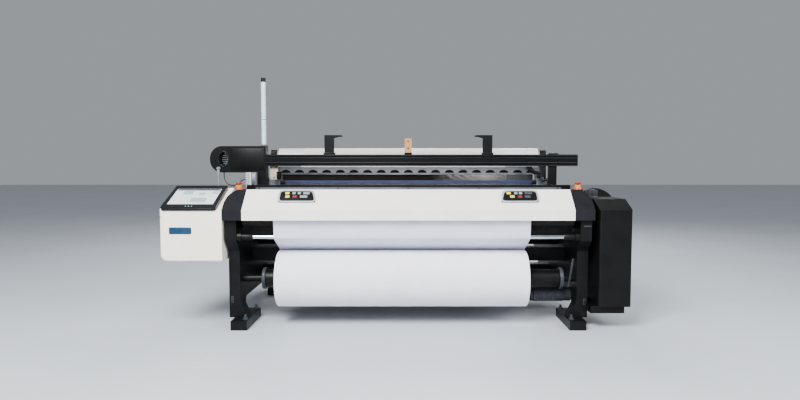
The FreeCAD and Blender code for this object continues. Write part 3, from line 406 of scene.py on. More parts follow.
def eased(piece, width, segments=2):
    """Round every sharp edge of a piece and shade it smooth between them."""
    only(piece)
    if width:
        rounding = piece.modifiers.new("eased", "BEVEL")
        rounding.width = width
        rounding.segments = segments
        rounding.limit_method = "ANGLE"
        rounding.angle_limit = math.radians(35)
        bpy.ops.object.modifier_apply(modifier=rounding.name)
    bpy.ops.object.shade_smooth_by_angle(angle=math.radians(38))
    return piece


def block(name, low, high, ease=0.002, segments=2):
    """A block from its lowest to its highest corner, with eased edges."""
    clear()
    bpy.ops.mesh.primitive_cube_add(size=1, location=[(a + b) / 2 for a, b in zip(low, high)],
                                    scale=[b - a for a, b in zip(low, high)])
    return eased(settle(name), ease, segments)


def rod(name, start, end, radius, ease=0.0015, sides=28):
    """A round rod between two points, with eased ends."""
    clear()
    run = Vector(end) - Vector(start)
    bpy.ops.mesh.primitive_cylinder_add(vertices=sides, radius=radius, depth=run.length,
                                        location=(Vector(start) + Vector(end)) / 2,
                                        rotation=run.to_track_quat("Z", "Y").to_euler())
    return eased(settle(name), ease)


# %% Outlines and turned pieces
def drawn_line(name, points):
    """A line of vertices, extruded from point to point; it stays in edit mode."""
    clear()
    bpy.ops.mesh.primitive_plane_add(size=0.01, location=points[0])
    piece = settle(name)
    bpy.ops.object.mode_set(mode="EDIT")
    bpy.ops.mesh.select_mode(type="VERT")
    bpy.ops.mesh.select_all(action="SELECT")
    bpy.ops.mesh.merge(type="CENTER")
    for start, end in zip(points, points[1:]):
        bpy.ops.mesh.extrude_vertices_move(TRANSFORM_OT_translate={"value": Vector(end) - Vector(start)})
    bpy.ops.mesh.select_all(action="SELECT")
    return piece


def plate(name, corners, push, ease=0.0015, segments=2):
    """A closed outline of corners, filled, and pushed along one vector to its thickness."""
    piece = drawn_line(name, corners)
    bpy.ops.mesh.edge_face_add()
    bpy.ops.mesh.extrude_region_move(TRANSFORM_OT_translate={"value": push})
    bpy.ops.mesh.select_all(action="SELECT")
    bpy.ops.mesh.normals_make_consistent(inside=False)
    bpy.ops.object.mode_set(mode="OBJECT")
    return eased(piece, ease, segments)


def turned(name, profile, centre, axis="X", steps=48, ease=0.0):
    """A profile of (place along the axis, radius) spun round the axis. It starts and ends on the axis, or closes."""
    run = Vector((1, 0, 0)) if axis == "X" else Vector((0, 1, 0)) if axis == "Y" else Vector((0, 0, 1))
    out = Vector((0, 0, 1)) if axis != "Z" else Vector((1, 0, 0))
    points = [Vector(centre) + run * (along - Vector(centre).dot(run)) + out * radius for along, radius in profile]
    piece = drawn_line(name, points)
    bpy.ops.mesh.spin(steps=steps, angle=2 * math.pi, center=centre, axis=run)
    bpy.ops.mesh.select_all(action="SELECT")
    bpy.ops.mesh.remove_doubles(threshold=1e-6)
    bpy.ops.mesh.normals_make_consistent(inside=False)
    bpy.ops.object.mode_set(mode="OBJECT")
    return eased(piece, ease)


# %% Rows, joins and rings
def repeated(piece, count, step):
    """Copies of a piece in a row, as one mesh."""
    only(piece)
    row = piece.modifiers.new("row", "ARRAY")
    row.count = count
    row.use_relative_offset = False
    row.use_constant_offset = True
    row.constant_offset_displace = step
    bpy.ops.object.modifier_apply(modifier=row.name)
    return piece


def joined(name, parts):
    """Several pieces as one mesh."""
    only(parts[0])
    for part in parts[1:]:
        part.select_set(True)
    if len(parts) > 1:
        bpy.ops.object.join()
    parts[0].name = parts[0].data.name = name
    return parts[0]


def copied(name, piece, moves):
    """A piece and its copies, each with its own mesh moved by a matrix, as one mesh."""
    parts = []
    for move in moves:
        copy = piece.copy()
        copy.data = piece.data.copy()
        copy.data.transform(move)
        bpy.context.scene.collection.objects.link(copy)
        parts.append(copy)
    bpy.data.objects.remove(piece)
    return joined(name, parts)


def ringed(name, piece, count, axis, centre):
    """Copies of a piece, evenly turned round an axis through a centre."""
    there, back = Matrix.Translation(Vector(centre)), Matrix.Translation(-Vector(centre))
    return copied(name, piece, [there @ Matrix.Rotation(2 * math.pi * i / count, 4, axis) @ back
                                for i in range(count)])


# %% Dressing
def dress(piece, slot, body="frame", finish=None):
    """Give a piece its finish, taken from its slot unless one is given, and the body that carries it."""
    piece.data.materials.clear()
    piece.data.materials.append(finish or FINISHES[slot])
    if body:
        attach(piece, body)
    return piece


# %% [markdown]
# ## The path of cloth and warp
# Cloth and warp are one flat web that runs from the yarn beam at the back, over the backrest, through the
# healds and the reed, over the breast beam and down to the roll. Between two rollers it is straight; on a
# roller it follows an arc. Given the rollers in order, with the side that the web turns to, the points of the
# line follow from plain geometry: each straight is the tangent that two circles share.

# %% Line of a web over its rollers
ARC_STEP = math.radians(7)


def web_line(stops):
    """Points (y, z) of a web over round stops (y, z, radius, turn), in the order that it runs."""
    runs = []
    for (y1, z1, r1, t1), (y2, z2, r2, t2) in zip(stops, stops[1:]):
        span = math.hypot(y2 - y1, z2 - z1)
        heading = math.atan2(z2 - z1, y2 - y1) - math.asin((t2 * r2 - t1 * r1) / span)
        side = (-math.sin(heading), math.cos(heading))
        runs.append((heading, (y1 - t1 * r1 * side[0], z1 - t1 * r1 * side[1]),
                     (y2 - t2 * r2 * side[0], z2 - t2 * r2 * side[1])))
    points = [runs[0][1]]
    for (before, _, arrive), (after, leave, _), (y, z, radius, turn) in zip(runs, runs[1:], stops[1:]):
        swing = (after - before) * turn % (2 * math.pi) * turn
        first = math.atan2(arrive[1] - z, arrive[0] - y)
        count = max(1, round(abs(swing) / ARC_STEP))
        if radius < 0.002:
            points.append(leave)
            continue
        points += [(y + radius * math.cos(first + swing * i / count), z + radius * math.sin(first + swing * i / count))
                   for i in range(count + 1)]
    return points + [runs[-1][2]]


def run_length(points):
    """The length of a line of points."""
    return sum(math.dist(a, b) for a, b in zip(points, points[1:]))


def web(name, points, left, right, columns, thick):
    """A web of one thickness along a line of (y, z) points, with a UV map in metres."""
    piece = drawn_line(name, [(left, y, z) for y, z in points])
    for _ in range(columns):
        bpy.ops.mesh.extrude_edges_move(TRANSFORM_OT_translate={"value": ((right - left) / columns, 0, 0)})
    bpy.ops.mesh.select_all(action="SELECT")
    bpy.ops.mesh.normals_make_consistent(inside=False)
    bpy.ops.object.mode_set(mode="OBJECT")
    only(piece)
    thickness = piece.modifiers.new("thickness", "SOLIDIFY")
    thickness.thickness = thick
    thickness.offset = 0.0
    bpy.ops.object.modifier_apply(modifier=thickness.name)
    bpy.ops.object.shade_smooth_by_angle(angle=math.radians(38))
    ways, way = [], 0.0
    for i, point in enumerate(points):
        way += math.dist(point, points[i - 1]) if i else 0.0
        ways.append(way)
    flat = piece.data.uv_layers[0] if piece.data.uv_layers else piece.data.uv_layers.new(name="flat")
    places = [(v.co.x, ways[min(range(len(points)), key=lambda i: math.dist(points[i], (v.co.y, v.co.z)))])
              for v in piece.data.vertices]
    for corner, loop in zip(flat.data, piece.data.loops):
        corner.uv = places[loop.vertex_index]
    return piece


# %% [markdown]
# ## The woven cloth
# The cloth leaves the fell, the edge where the last weft was beaten in, slides over the rounded nose of the
# breast beam, grips the sand roller, passes the press roller and the chrome guide bar, and winds on the
# roll. It is held tight, so it is a web with no folds. A real fabric of this kind is about 0.4 mm thick; the
# drawn one is 0.8 mm so that its edge still shows.

# %% Cloth
CLOTH_LEFT, CLOTH_RIGHT = -0.904, 0.819
CLOTH_HALF = 0.0008                       # from a roller's face to the middle of the cloth
NOSE = (-0.470, 0.8792, 0.020)
SAND = (-0.5619, 0.692, 0.070)
PRESS = (-0.66715, 0.74288, 0.045)
GUIDE = (-0.680, 0.622, 0.016)
ROLL = (-0.540, 0.316, 0.195)
FELL = (-0.205, 0.900)


def over(roller, turn, grow=CLOTH_HALF):
    """A stop for a web that runs at a small distance from a roller's face."""
    return (roller[0], roller[1], roller[2] + grow, turn)


cloth_stops = [(*FELL, 0.0, 0), over(NOSE, 1), over(SAND, -1), over(PRESS, 1), over(GUIDE, 1), over(ROLL, -1)]
cloth_points = web_line(cloth_stops)
cloth = web("woven_cloth", cloth_points, CLOTH_LEFT, CLOTH_RIGHT, 30, 0.0008)
# The web wears the darker copy of the cloth finish: painted shade.
dress(cloth, "cloth", "frame", FINISHES["cloth_sheet"])
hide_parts("cloth_sheet")
print("cloth length", round(run_length(cloth_points), 4), "m, points", len(cloth_points))

# %% [markdown]
# ## The cloth roll
# Hundreds of layers lie on the roll, and no two turns end at quite the same place, so its ends are shallow
# terraces and its skin swells and sinks by half a millimetre. A profile with those steps, spun round the
# roll's axis, gives both; every step is worked out from a fixed wave so that it is the same each time.

# %% Cloth roll
LAYERS = 22


def wound_profile(left, right, bore, skin, terrace, swell, layers=LAYERS, columns=36):
    """A profile of a wound package: terraced ends and a skin that swells a little."""
    steps = [bore + (skin - bore) * i / layers for i in range(layers + 1)]
    ends = [terrace * (0.5 + 0.5 * math.sin(2.3 * i) * math.cos(0.7 * i)) for i in range(layers)]
    rise = [(left, bore)]
    for i in range(layers - 1):
        rise += [(left + ends[i], steps[i + 1]), (left + ends[i + 1], steps[i + 1])]
    rise += [(left + ends[-1], skin - 0.004), (left + ends[-1] + 0.0035, skin - 0.0006)]
    top = [(left + (right - left) * i / columns, skin - swell * (0.5 + 0.5 * math.sin(1.9 * i + 0.4)))
           for i in range(1, columns)]
    fall = [(left + right - x, radius) for x, radius in reversed(rise)]
    return rise + top + fall


roll = turned("cloth_roll_layers", wound_profile(CLOTH_LEFT, CLOTH_RIGHT, 0.0635, ROLL[2], 0.0035, 0.0006),
              (0, ROLL[0], ROLL[1]), steps=128)
only(roll)
bpy.ops.object.mode_set(mode="EDIT")
bpy.ops.mesh.select_all(action="SELECT")
bpy.ops.uv.cylinder_project(direction="ALIGN_TO_OBJECT", align="POLAR_ZX", scale_to_bounds=False)
bpy.ops.object.mode_set(mode="OBJECT")
for corner, loop in zip(roll.data.uv_layers.active.data, roll.data.loops):
    place = roll.data.vertices[loop.vertex_index].co
    corner.uv = (place.x, ROLL[2] * math.atan2(place.y - ROLL[0], place.z - ROLL[1]))
dress(roll, "cloth", "cloth_roll_body")
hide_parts("cloth_roll")
print("roll triangles", sum(len(f.vertices) - 2 for f in roll.data.polygons))

# %% [markdown]
# ## The yarn on the warp beam
# The warp beam holds the lengthwise threads, wound side by side under tension. The package is as smooth as
# yarn allows, with a fine ridge where each section of threads meets the next.

# %% Yarn package
BEAM = (0.740, 0.450, 0.330)
yarn_low, yarn_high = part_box("warp_yarn")
yarn_columns = 84
yarn_profile = [(yarn_low.x, 0.0905)]
for column in range(yarn_columns + 1):
    along = yarn_low.x + (yarn_high.x - yarn_low.x) * column / yarn_columns
    yarn_profile.append((along, BEAM[2] - (0.0022 if column % 4 else 0.0004)))
yarn_profile += [(yarn_high.x, 0.0905)]
package = turned("warp_package", yarn_profile, (0, BEAM[0], BEAM[1]), steps=112)
dress(package, "warp_yarn", "warp_beam_body")
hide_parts("warp_yarn")

# %% [markdown]
# ## The warp sheet
# From the beam to the backrest the threads lie so close that they read as one sheet. From there to the fell
# they part into four layers, one for each heald frame; on the running loom every thread follows its own frame up and
# down.
# Threads are drawn four millimetres apart, each a flat strip; real ones are a quarter of that.

# %% Warp
BACKREST = (0.600, 1.174, 0.070)
EYES = [0.092, 0.108, 0.124, 0.140]
LEASE = (0.165, 0.901)
WARP_PITCH = 0.004
THREAD_WIDTH, THREAD_THICK = 0.0024, 0.0007
back_stops = [(*LEASE, 0.0, 0), over(BACKREST, -1), over(BEAM, -1)]
back_points = web_line(back_stops)
top_index = max(range(len(back_points)), key=lambda i: back_points[i][1])
rise = web("warp_rise", back_points[top_index:], CLOTH_LEFT, CLOTH_RIGHT, 8, 0.0008)
dress(rise, "warp_yarn")
slope_points = back_points[1:top_index + 1] if back_points[0] == LEASE else back_points[:top_index + 1]
thread_count = int((CLOTH_RIGHT - CLOTH_LEFT) / (4 * WARP_PITCH))
warp_pieces = [rise]
for number, eye_y in enumerate(EYES):
    body = "heald_body_%d" % (number + 1)
    first = CLOTH_LEFT + 0.002 + number * WARP_PITCH
    front = [(FELL[0] + (eye_y - FELL[0]) * i / 8, FELL[1]) for i in range(9)]
    lead = [(eye_y, FELL[1]), (LEASE[0], LEASE[1])]
    behind = [lead[0], lead[1]]
    foot, head = lead[1], slope_points[0] if math.dist(slope_points[0], LEASE) > 0.05 else slope_points[1]
    behind += [(foot[0] + (head[0] - foot[0]) * i / 8, foot[1] + (head[1] - foot[1]) * i / 8) for i in range(1, 8)]
    behind += [p for p in slope_points if p[0] >= head[0] - 1e-6]
    for word, line, start, end in (("front", front, "frame", body), ("rear", behind[::-1], "frame", body)):
        thread = web("warp_%s_%d" % (word, number + 1), line, first, first + THREAD_WIDTH, 1, THREAD_THICK)
        repeated(thread, thread_count, (4 * WARP_PITCH, 0, 0))
        dress(thread, "warp_yarn", None)
        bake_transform(thread)
        warp_pieces.append(thread)
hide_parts("warp_sheet")
print("warp threads", 4 * thread_count, "rear run", round(run_length(behind), 3), "m")

# %% [markdown]
# ## The rapier tapes
# A flexible carbon tape winds round each big wheel and pushes its rapier head through the shed. The free
# stretch lies flat between wheel and head, and lengthens as the head travels. The tape is drawn as a plain
# strip, without the row of sprocket holes that a real one has.

# %% Tapes
for word, side in SIDES:
    low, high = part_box(word + "_rapier_tape")
    middle = (low.z + high.z) / 2
    columns = 16
    tape = web(word + "_tape_strip", [(low.y + (high.y - low.y) * i / 6, middle) for i in range(7)],
               low.x, high.x, columns, high.z - low.z)
    dress(tape, "tape", None)
    outer, inner = (low.x, high.x) if side < 0 else (high.x, low.x)
    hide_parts(word + "_rapier_tape")
    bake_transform(tape)
print("tapes", len(SIDES))

# %% [markdown]
# ## Reed and healds
# The reed is a comb of thin steel blades between two baulks; it spaces the threads and beats the weft in.
# Behind it hang the healds, flat steel wires with an eye in the middle, one for each thread of a layer. Both
# repeat hundreds of times, so one blade and one wire are modelled with very few faces and set in rows.

# %% Reed dents
reed_low, reed_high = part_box("reed")
DENT_PITCH = 0.0045
dent = block("reed_dents", (-0.9335, reed_low.y + 0.004, 0.8705), (-0.9327, reed_high.y - 0.004, 0.9645), 0)
dent_count = int(1.867 / DENT_PITCH)
repeated(dent, dent_count, (DENT_PITCH, 0, 0))
dress(dent, "steel", "sley_body")

# %% Healds
HEALD_PITCH, WIRE = 0.0082, 0.0040
eye_height = 0.900
for number in range(4):
    low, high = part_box("heald_frame_%d" % (number + 1))
    middle = (low.y + high.y) / 2
    left = -1.002 + number * 0.002
    wire_parts = [block("wire_low", (left, middle - 0.0006, 0.762), (left + WIRE, middle + 0.0006, 0.891), 0),
                  block("wire_high", (left, middle - 0.0006, 0.909), (left + WIRE, middle + 0.0006, 1.038), 0)]
    clear()
    bpy.ops.mesh.primitive_torus_add(major_segments=8, minor_segments=3, major_radius=0.0085, minor_radius=0.0012,
                                     location=(left + WIRE / 2, middle, eye_height), rotation=(math.radians(90), 0, 0))
    eye_ring = settle("wire_eye")
    only(eye_ring)
    bpy.ops.object.mode_set(mode="EDIT")
    bpy.ops.mesh.select_all(action="SELECT")
    bpy.ops.transform.resize(value=(0.36, 1, 1.1), center_override=(left + WIRE / 2, middle, eye_height))
    bpy.ops.object.mode_set(mode="OBJECT")
    wires = joined("heald_wires_%d" % (number + 1), wire_parts + [eye_ring])
    repeated(wires, int(2.0 / HEALD_PITCH), (HEALD_PITCH, 0, 0))
    dress(wires, "steel", "heald_body_%d" % (number + 1),
          coating("bronzed_heald_wire_%d" % (number + 1), "#1e1713", "#140f0c", 120, 2, 0.5, 0.03, shine=0.15))
print("healds", 4 * int(2.0 / HEALD_PITCH))

# %% [markdown]
# ## Fasteners
# Covers and bearings are held by socket screws. A screw head is a short cylinder with a hexagon socket sunk
# in its face. One is modelled lying along X, Y or Z, then copied to each place, and all the heads of one group
# become one mesh.

# %% Screw heads
def screw_heads(name, places, way, radius, height, slot="black_paint", body="frame"):
    """Socket screw heads whose seats are at the places, standing out along +way, or -way for a negative height."""
    unit = Vector((way == "X", way == "Y", way == "Z")) * (1 if height > 0 else -1)
    clear()
    bpy.ops.mesh.primitive_cylinder_add(vertices=12, radius=radius, depth=abs(height), location=unit * abs(height) / 2,
                                        rotation=unit.to_track_quat("Z", "Y").to_euler())
    head = settle("head")
    bpy.ops.object.mode_set(mode="EDIT")
    bpy.ops.mesh.select_mode(type="FACE")
    bpy.ops.mesh.select_all(action="DESELECT")
    bpy.ops.object.mode_set(mode="OBJECT")
    for face in head.data.polygons:
        face.select = face.normal.dot(unit) > 0.9
    bpy.ops.object.mode_set(mode="EDIT")
    bpy.ops.mesh.inset(thickness=radius * 0.2, depth=0)
    bpy.ops.mesh.inset(thickness=radius * 0.3, depth=0)
    bpy.ops.mesh.inset(thickness=0.0001, depth=-abs(height) * 0.6)
    bpy.ops.object.mode_set(mode="OBJECT")
    eased(head, 0.0)
    return dress(copied(name, head, [Matrix.Translation(place) for place in places]), slot, body)


# %% [markdown]
# ## Working on a slope
# The key pads and the tablet lie on sloping faces. It is easier to model them flat, with X along the loom, Y up
# the slope and Z out of it, and to lay them on the slope at the end.

# %% Slopes
COVER_FOOT, COVER_ANGLE = (-0.750, 0.806), math.atan2(0.131, 0.150)
CABINET_FOOT, CABINET_ANGLE = (-0.750, 0.806), math.atan2(0.134, 0.310)


def laid(piece, foot, angle):
    """Lay a flat piece on a slope that starts at foot and climbs at an angle."""
    only(piece)
    piece.rotation_euler = (angle, 0, 0)
    piece.location = (0, *foot)
    bpy.ops.object.transform_apply(location=True, rotation=True, scale=True)
    return piece


def on_slope(piece, slot, foot, angle, finish=None):
    """Dress a flat piece, lay it on a slope and let it ride on the frame."""
    dress(piece, slot, None, finish)
    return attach(laid(piece, foot, angle), "frame")


def slope_box(node, foot, angle):
    """A CAD node's lowest and highest corners, measured in the slope's own flat frame."""
    spots = []
    for v in NODES[node].data.vertices:
        y, z = v.co.y - foot[0], v.co.z - foot[1]
        spots.append((v.co.x, y * math.cos(angle) + z * math.sin(angle), z * math.cos(angle) - y * math.sin(angle)))
    return [min(s[i] for s in spots) for i in range(3)], [max(s[i] for s in spots) for i in range(3)]


# %% [markdown]
# ## The key pads
# Each end of the cover carries a membrane pad: a pale metal rim round a dark face, and soft keys that stand
# three millimetres proud. Yellow keys jog the loom, the red one stops it, the grey ones step and set. The pad's
# inner end is cut at a slant, so the rim and the face are drawn as outlines.

# %% Key pads
KEY_YELLOW = coating("yellow_silicone_key", "#e3d648", "#d2c437", 15, 1.2, 0.5, 0.03)
KEY_GREY = coating("grey_silicone_key", "#8f9695", "#7b8281", 15, 1.2, 0.5, 0.03)
KEY_DARK = coating("dark_silicone_key", "#3d4146", "#303438", 15, 1.2, 0.5, 0.03)
KEY_RED = coating("red_silicone_key", "#7d2422", "#6c1d1b", 15, 1.2, 0.5, 0.03)
KEYS = {
    "left": [(-0.819, 0.153, 0.028, KEY_YELLOW), (-0.774, 0.153, 0.022, KEY_GREY), (-0.738, 0.153, 0.022, KEY_GREY),
             (-0.690, 0.153, 0.044, KEY_GREY), (-0.815, 0.120, 0.028, KEY_YELLOW), (-0.765, 0.120, 0.030, KEY_RED),
             (-0.706, 0.120, 0.050, KEY_GREY)],
    "right": [(0.679, 0.153, 0.028, KEY_YELLOW), (0.727, 0.153, 0.022, KEY_GREY), (0.759, 0.153, 0.022, KEY_GREY),
              (0.812, 0.153, 0.050, KEY_DARK), (0.700, 0.120, 0.030, KEY_YELLOW), (0.752, 0.120, 0.030, KEY_RED),
              (0.803, 0.120, 0.040, KEY_DARK)],
}
RIM, SLANT = 0.006, 0.024
print("keys", {word: len(keys) for word, keys in KEYS.items()})

# %% Rounded outlines
def rounded_outline(corners, radius, steps=4):
    """The same outline with each corner replaced by a short curve."""
    points = []
    for before, corner, after in zip(corners[-1:] + corners[:-1], corners, corners[1:] + corners[:1]):
        before, corner, after = Vector(before), Vector(corner), Vector(after)
        first = corner + (before - corner).normalized() * radius
        last = corner + (after - corner).normalized() * radius
        for step in range(steps + 1):
            t = step / steps
            points.append(first * (1 - t) ** 2 + corner * 2 * t * (1 - t) + last * t ** 2)
    return points


# %% Pads and keys
for word, side in SIDES:
    low, high = slope_box(word + "_key_pad", COVER_FOOT, COVER_ANGLE)
    inner, outer = (high[0], low[0]) if side < 0 else (low[0], high[0])
    top = high[2]

    def corners(inset, level):
        """The pad's slanted outline, set in by a margin, at a level."""
        return [(outer - side * inset, low[1] + inset, level), (inner + side * inset * 0.8, low[1] + inset, level),
                (inner + side * (SLANT + inset * 1.2), high[1] - inset, level),
                (outer - side * inset, high[1] - inset, level)]

    rim = plate(word + "_pad_rim", rounded_outline(corners(-0.005, top - 0.003), 0.034), (0, 0, 0.0045), 0.001)
    dress(rim, "aluminium", None, coating(word + "_satin_pad_rim", "#a9adb3", "#979ba2", 80, 2, 0.34, 0.03))
    laid(rim, COVER_FOOT, COVER_ANGLE)
    face = plate(word + "_pad_face", rounded_outline(corners(RIM, top), 0.026), (0, 0, 0.0025), 0.0006)
    laid(dress(face, "key_panel", None), COVER_FOOT, COVER_ANGLE)
    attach(rim, "frame")
    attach(face, "frame")
    for number, (along, up, width, finish) in enumerate(KEYS[word], 1):
        key = block("%s_key_%d" % (word, number), (along - width / 2, up - 0.0105, top + 0.0010),
                    (along + width / 2, up + 0.0105, top + 0.0055), 0.0040, 4)
        on_slope(key, "key_panel", COVER_FOOT, COVER_ANGLE, finish)
    print(word, "pad", [round(v, 3) for v in low + high])

# %% [markdown]
# ## The tablet
# The operator's tablet is a slim moulded case with a glass front. Its display is made of thin tiles just above
# the glass: a dark blue bar across the top, a pale field, a column of grey tiles and one green one. There is
# nothing to read on it. A lip along the lower edge keeps a hand from sliding off.

# %% Tablet
low, high = slope_box("tablet_case", CABINET_FOOT, CABINET_ANGLE)
glass_low, glass_high = slope_box("tablet_screen", CABINET_FOOT, CABINET_ANGLE)
print("tablet", [round(v, 3) for v in low + high], "glass", [round(v, 3) for v in glass_low + glass_high])
TILE_BLUE = coating("screen_blue", "#2d4468", "#243a5c", 60, 5, 0.12, 0.0, uneven=0.02, coat=0.6)
TILE_PALE = coating("screen_pale", "#dfe5ea", "#d3dae1", 60, 5, 0.12, 0.0, uneven=0.02, coat=0.6)
TILE_GREY = coating("screen_grey", "#aab6c0", "#9ba8b3", 40, 5, 0.12, 0.0, uneven=0.02, coat=0.6)
TILE_GREEN = coating("screen_green", "#8fd0a4", "#7bc293", 40, 5, 0.12, 0.0, uneven=0.02, coat=0.6)
wide, tall = glass_high[0] - glass_low[0], glass_high[1] - glass_low[1]
TILES = [(0.01, 0.885, 0.99, 0.99, TILE_BLUE), (0.02, 0.10, 0.16, 0.86, TILE_PALE),
         (0.19, 0.62, 0.42, 0.86, TILE_GREY), (0.19, 0.36, 0.42, 0.58, TILE_PALE),
         (0.19, 0.10, 0.42, 0.32, TILE_PALE), (0.45, 0.44, 0.80, 0.86, TILE_PALE),
         (0.56, 0.56, 0.69, 0.74, TILE_GREEN), (0.45, 0.10, 0.80, 0.40, TILE_GREY),
         (0.83, 0.66, 0.98, 0.86, TILE_GREY), (0.83, 0.38, 0.98, 0.62, TILE_PALE),
         (0.83, 0.10, 0.98, 0.34, TILE_PALE), (0.02, 0.02, 0.98, 0.07, TILE_PALE)]
for number, (x0, y0, x1, y1, finish) in enumerate(TILES, 1):
    proud = 0.0009 if finish is TILE_GREEN else 0.0004
    tile = block("screen_tile_%d" % number,
                 (glass_low[0] + wide * x0, glass_low[1] + tall * y0, glass_high[2] - 0.0002),
                 (glass_low[0] + wide * x1, glass_low[1] + tall * y1, glass_high[2] + proud), 0.0001, 1)
    on_slope(tile, "display_glass", CABINET_FOOT, CABINET_ANGLE, finish)
edge = 0.006
bezel_parts = [
    block("b", (low[0], low[1], high[2] - 0.002), (high[0], low[1] + edge, high[2] + 0.0025), 0.0012),
    block("b", (low[0], high[1] - edge, high[2] - 0.002), (high[0], high[1], high[2] + 0.0025), 0.0012),
    block("b", (low[0], low[1], high[2] - 0.002), (low[0] + edge, high[1], high[2] + 0.0025), 0.0012),
    block("b", (high[0] - edge, low[1], high[2] - 0.002), (high[0], high[1], high[2] + 0.0025), 0.0012)]
on_slope(joined("tablet_raised_edge", bezel_parts), "tablet_black", CABINET_FOOT, CABINET_ANGLE)
lip = block("tablet_front_lip", (low[0] + 0.02, low[1] - 0.002, low[2] + 0.002),
            (high[0] - 0.02, low[1] + 0.003, high[2] - 0.006), 0.003, 3)
on_slope(lip, "tablet_black", CABINET_FOOT, CABINET_ANGLE)
lamp_spots = [rod("s", (x, low[1] + 0.020, high[2] - 0.001), (x, low[1] + 0.020, high[2] + 0.0012), 0.0035, 0.0004, 16)
              for x in ((low[0] + high[0]) / 2 - 0.02, (low[0] + high[0]) / 2, (low[0] + high[0]) / 2 + 0.02)]
on_slope(joined("tablet_status_lamps", lamp_spots), "lamp_diffuser", CABINET_FOOT, CABINET_ANGLE)
post = joined("tablet_post", [rod("p", (-1.342, -0.452, 0.930), (-1.342, -0.452, 1.076), 0.009),
                              turned("k", [(1.070, 0.0), (1.070, 0.009), (1.074, 0.012), (1.084, 0.014), (1.090, 0.010),
                                           (1.092, 0.0)], (-1.342, -0.452, 1.07), "Z", 24)])
dress(post, "grey_plastic")

# %% [markdown]
# ## The stop buttons
# An emergency stop is a red mushroom on a yellow body. The head has shallow finger grooves round its rim, and
# a black rubber bellows seals the gap that closes when it is pressed. The head's ribs ride on the button, the
# gasket and flange on the frame.

# %% Stop buttons
ORANGE = coating("orange_enamel", "#c04c00", "#ad4200", 30, 2, 0.36, 0.04)
for word, side in SIDES:
    low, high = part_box(word + "_stop_button")
    middle = ((low.x + high.x) / 2, (low.y + high.y) / 2)
    base_low = 0.9372
    rib = rod("rib", (middle[0] + 0.0196, middle[1], high.z - 0.010), (middle[0] + 0.0196, middle[1], high.z - 0.0035),
              0.0016, 0.0, 8)
    dress(ringed(word + "_stop_grip_ribs", rib, 16, "Z", (*middle, 0)), "stop_red", word + "_stop_body")
    crown = turned(word + "_stop_crown", [(high.z - 0.004, 0.0), (high.z - 0.004, 0.0185), (high.z - 0.0015, 0.0172),
                                          (high.z - 0.0004, 0.0120), (high.z, 0.006), (high.z, 0.0)],
                   (*middle, high.z), "Z", 32)
    dress(crown, "stop_red", word + "_stop_body")
    flange = turned(word + "_stop_flange_ring", [(base_low, 0.0222), (base_low, 0.0335), (base_low + 0.0035, 0.0335),
                                                 (base_low + 0.0092, 0.0318), (base_low + 0.0098, 0.0222),
                                                 (base_low, 0.0222)], (*middle, base_low), "Z", 32)
    dress(flange, "stop_yellow", "frame", ORANGE)
    collar_z = base_low + 0.030
    collar_top = collar_z + 0.0016
    collar = turned(word + "_stop_gasket", [(collar_z, 0.0095), (collar_z, 0.0215), (collar_top, 0.0215),
                                            (collar_top, 0.0095), (collar_z, 0.0095)],
                    (*middle, collar_z), "Z", 32)
    dress(collar, "tablet_black", "frame")
    print(word, "stop", round(low.z, 4), round(high.z, 4))

# %% [markdown]
# ## The signal lamp
# The status lamp is a frosted tube with two light modules in it. A thin dark ring shows where they meet, the
# foot is a knurled nut, and a thin dark lip closes the cap.

# %% Signal lamp
LAMP = (-1.126, 0.025)
ring = turned("ring", [(0.0, 0.0175), (0.0, 0.0186), (0.004, 0.0186), (0.004, 0.0175), (0.0, 0.0175)],
              (*LAMP, 0.0), "Z", 32)
dress(copied("lamp_module_rings", ring, [Matrix.Translation((0, 0, z)) for z in (1.452,)]), "grey_plastic", "frame",
      FINISHES["tablet_black"])
knurl = rod("knurl", (LAMP[0] + 0.0236, LAMP[1], 1.2495), (LAMP[0] + 0.0236, LAMP[1], 1.2600), 0.0018, 0.0, 6)
dress(ringed("lamp_knurled_nut", knurl, 24, "Z", (*LAMP, 0)), "grey_plastic", "frame",
      coating("brown_phenolic_nut", "#5a4438", "#46342b", 20, 1.5, 0.5, 0.05))
dome = turned("lamp_cap_lip", [(1.7445, 0.0176), (1.7445, 0.0192), (1.7500, 0.0192), (1.7500, 0.0176),
                               (1.7445, 0.0176)],
              (*LAMP, 1.75), "Z", 32)
dress(dome, "grey_plastic", "frame", FINISHES["tablet_black"])

# %% [markdown]
# ## Beams over the warp
# The black top beam is an aluminium extrusion: long lips run along it, and a cap closes its free end. The two
# hooked guides on it steady the heald frames' upper staves, the beech block between them keeps a lifted frame
# from springing. Below it the temple bar carries the temples that hold the cloth to its full width.

# %% Top beam
beam_low, beam_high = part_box("top_beam")
# The lips and the top plate are painted a lighter grey than the black beam: painted highlight along them.
LIP_HIGHLIGHT = coating("highlight_grey_extrusion_lip", "#2a2c32", "#202227", 140, 3, 0.34, 0.05, ALONG_X, shine=0.2)
lips = [block("l", (beam_low.x + 0.002, beam_low.y - 0.0028, z), (beam_high.x - 0.002, beam_low.y + 0.001, z + 0.0042),
              0.0012) for z in (1.0985, 1.1185, 1.1555, 1.1765)]
dress(joined("beam_front_lips", lips), "black_anodised", "frame", LIP_HIGHLIGHT)
back_lips = [block("l", (beam_low.x + 0.002, beam_high.y - 0.001, z), (beam_high.x - 0.002, beam_high.y + 0.0028,
                                                                   z + 0.0042), 0.0012) for z in (1.1050, 1.1600)]
dress(joined("beam_back_lips", back_lips), "black_anodised", "frame", LIP_HIGHLIGHT)
cap = block("beam_end_cap", (beam_high.x - 0.001, beam_low.y + 0.0015, beam_low.z + 0.0015),
            (beam_high.x + 0.004, beam_high.y - 0.0015, beam_high.z - 0.0015), 0.0015)
dress(cap, "tablet_black")
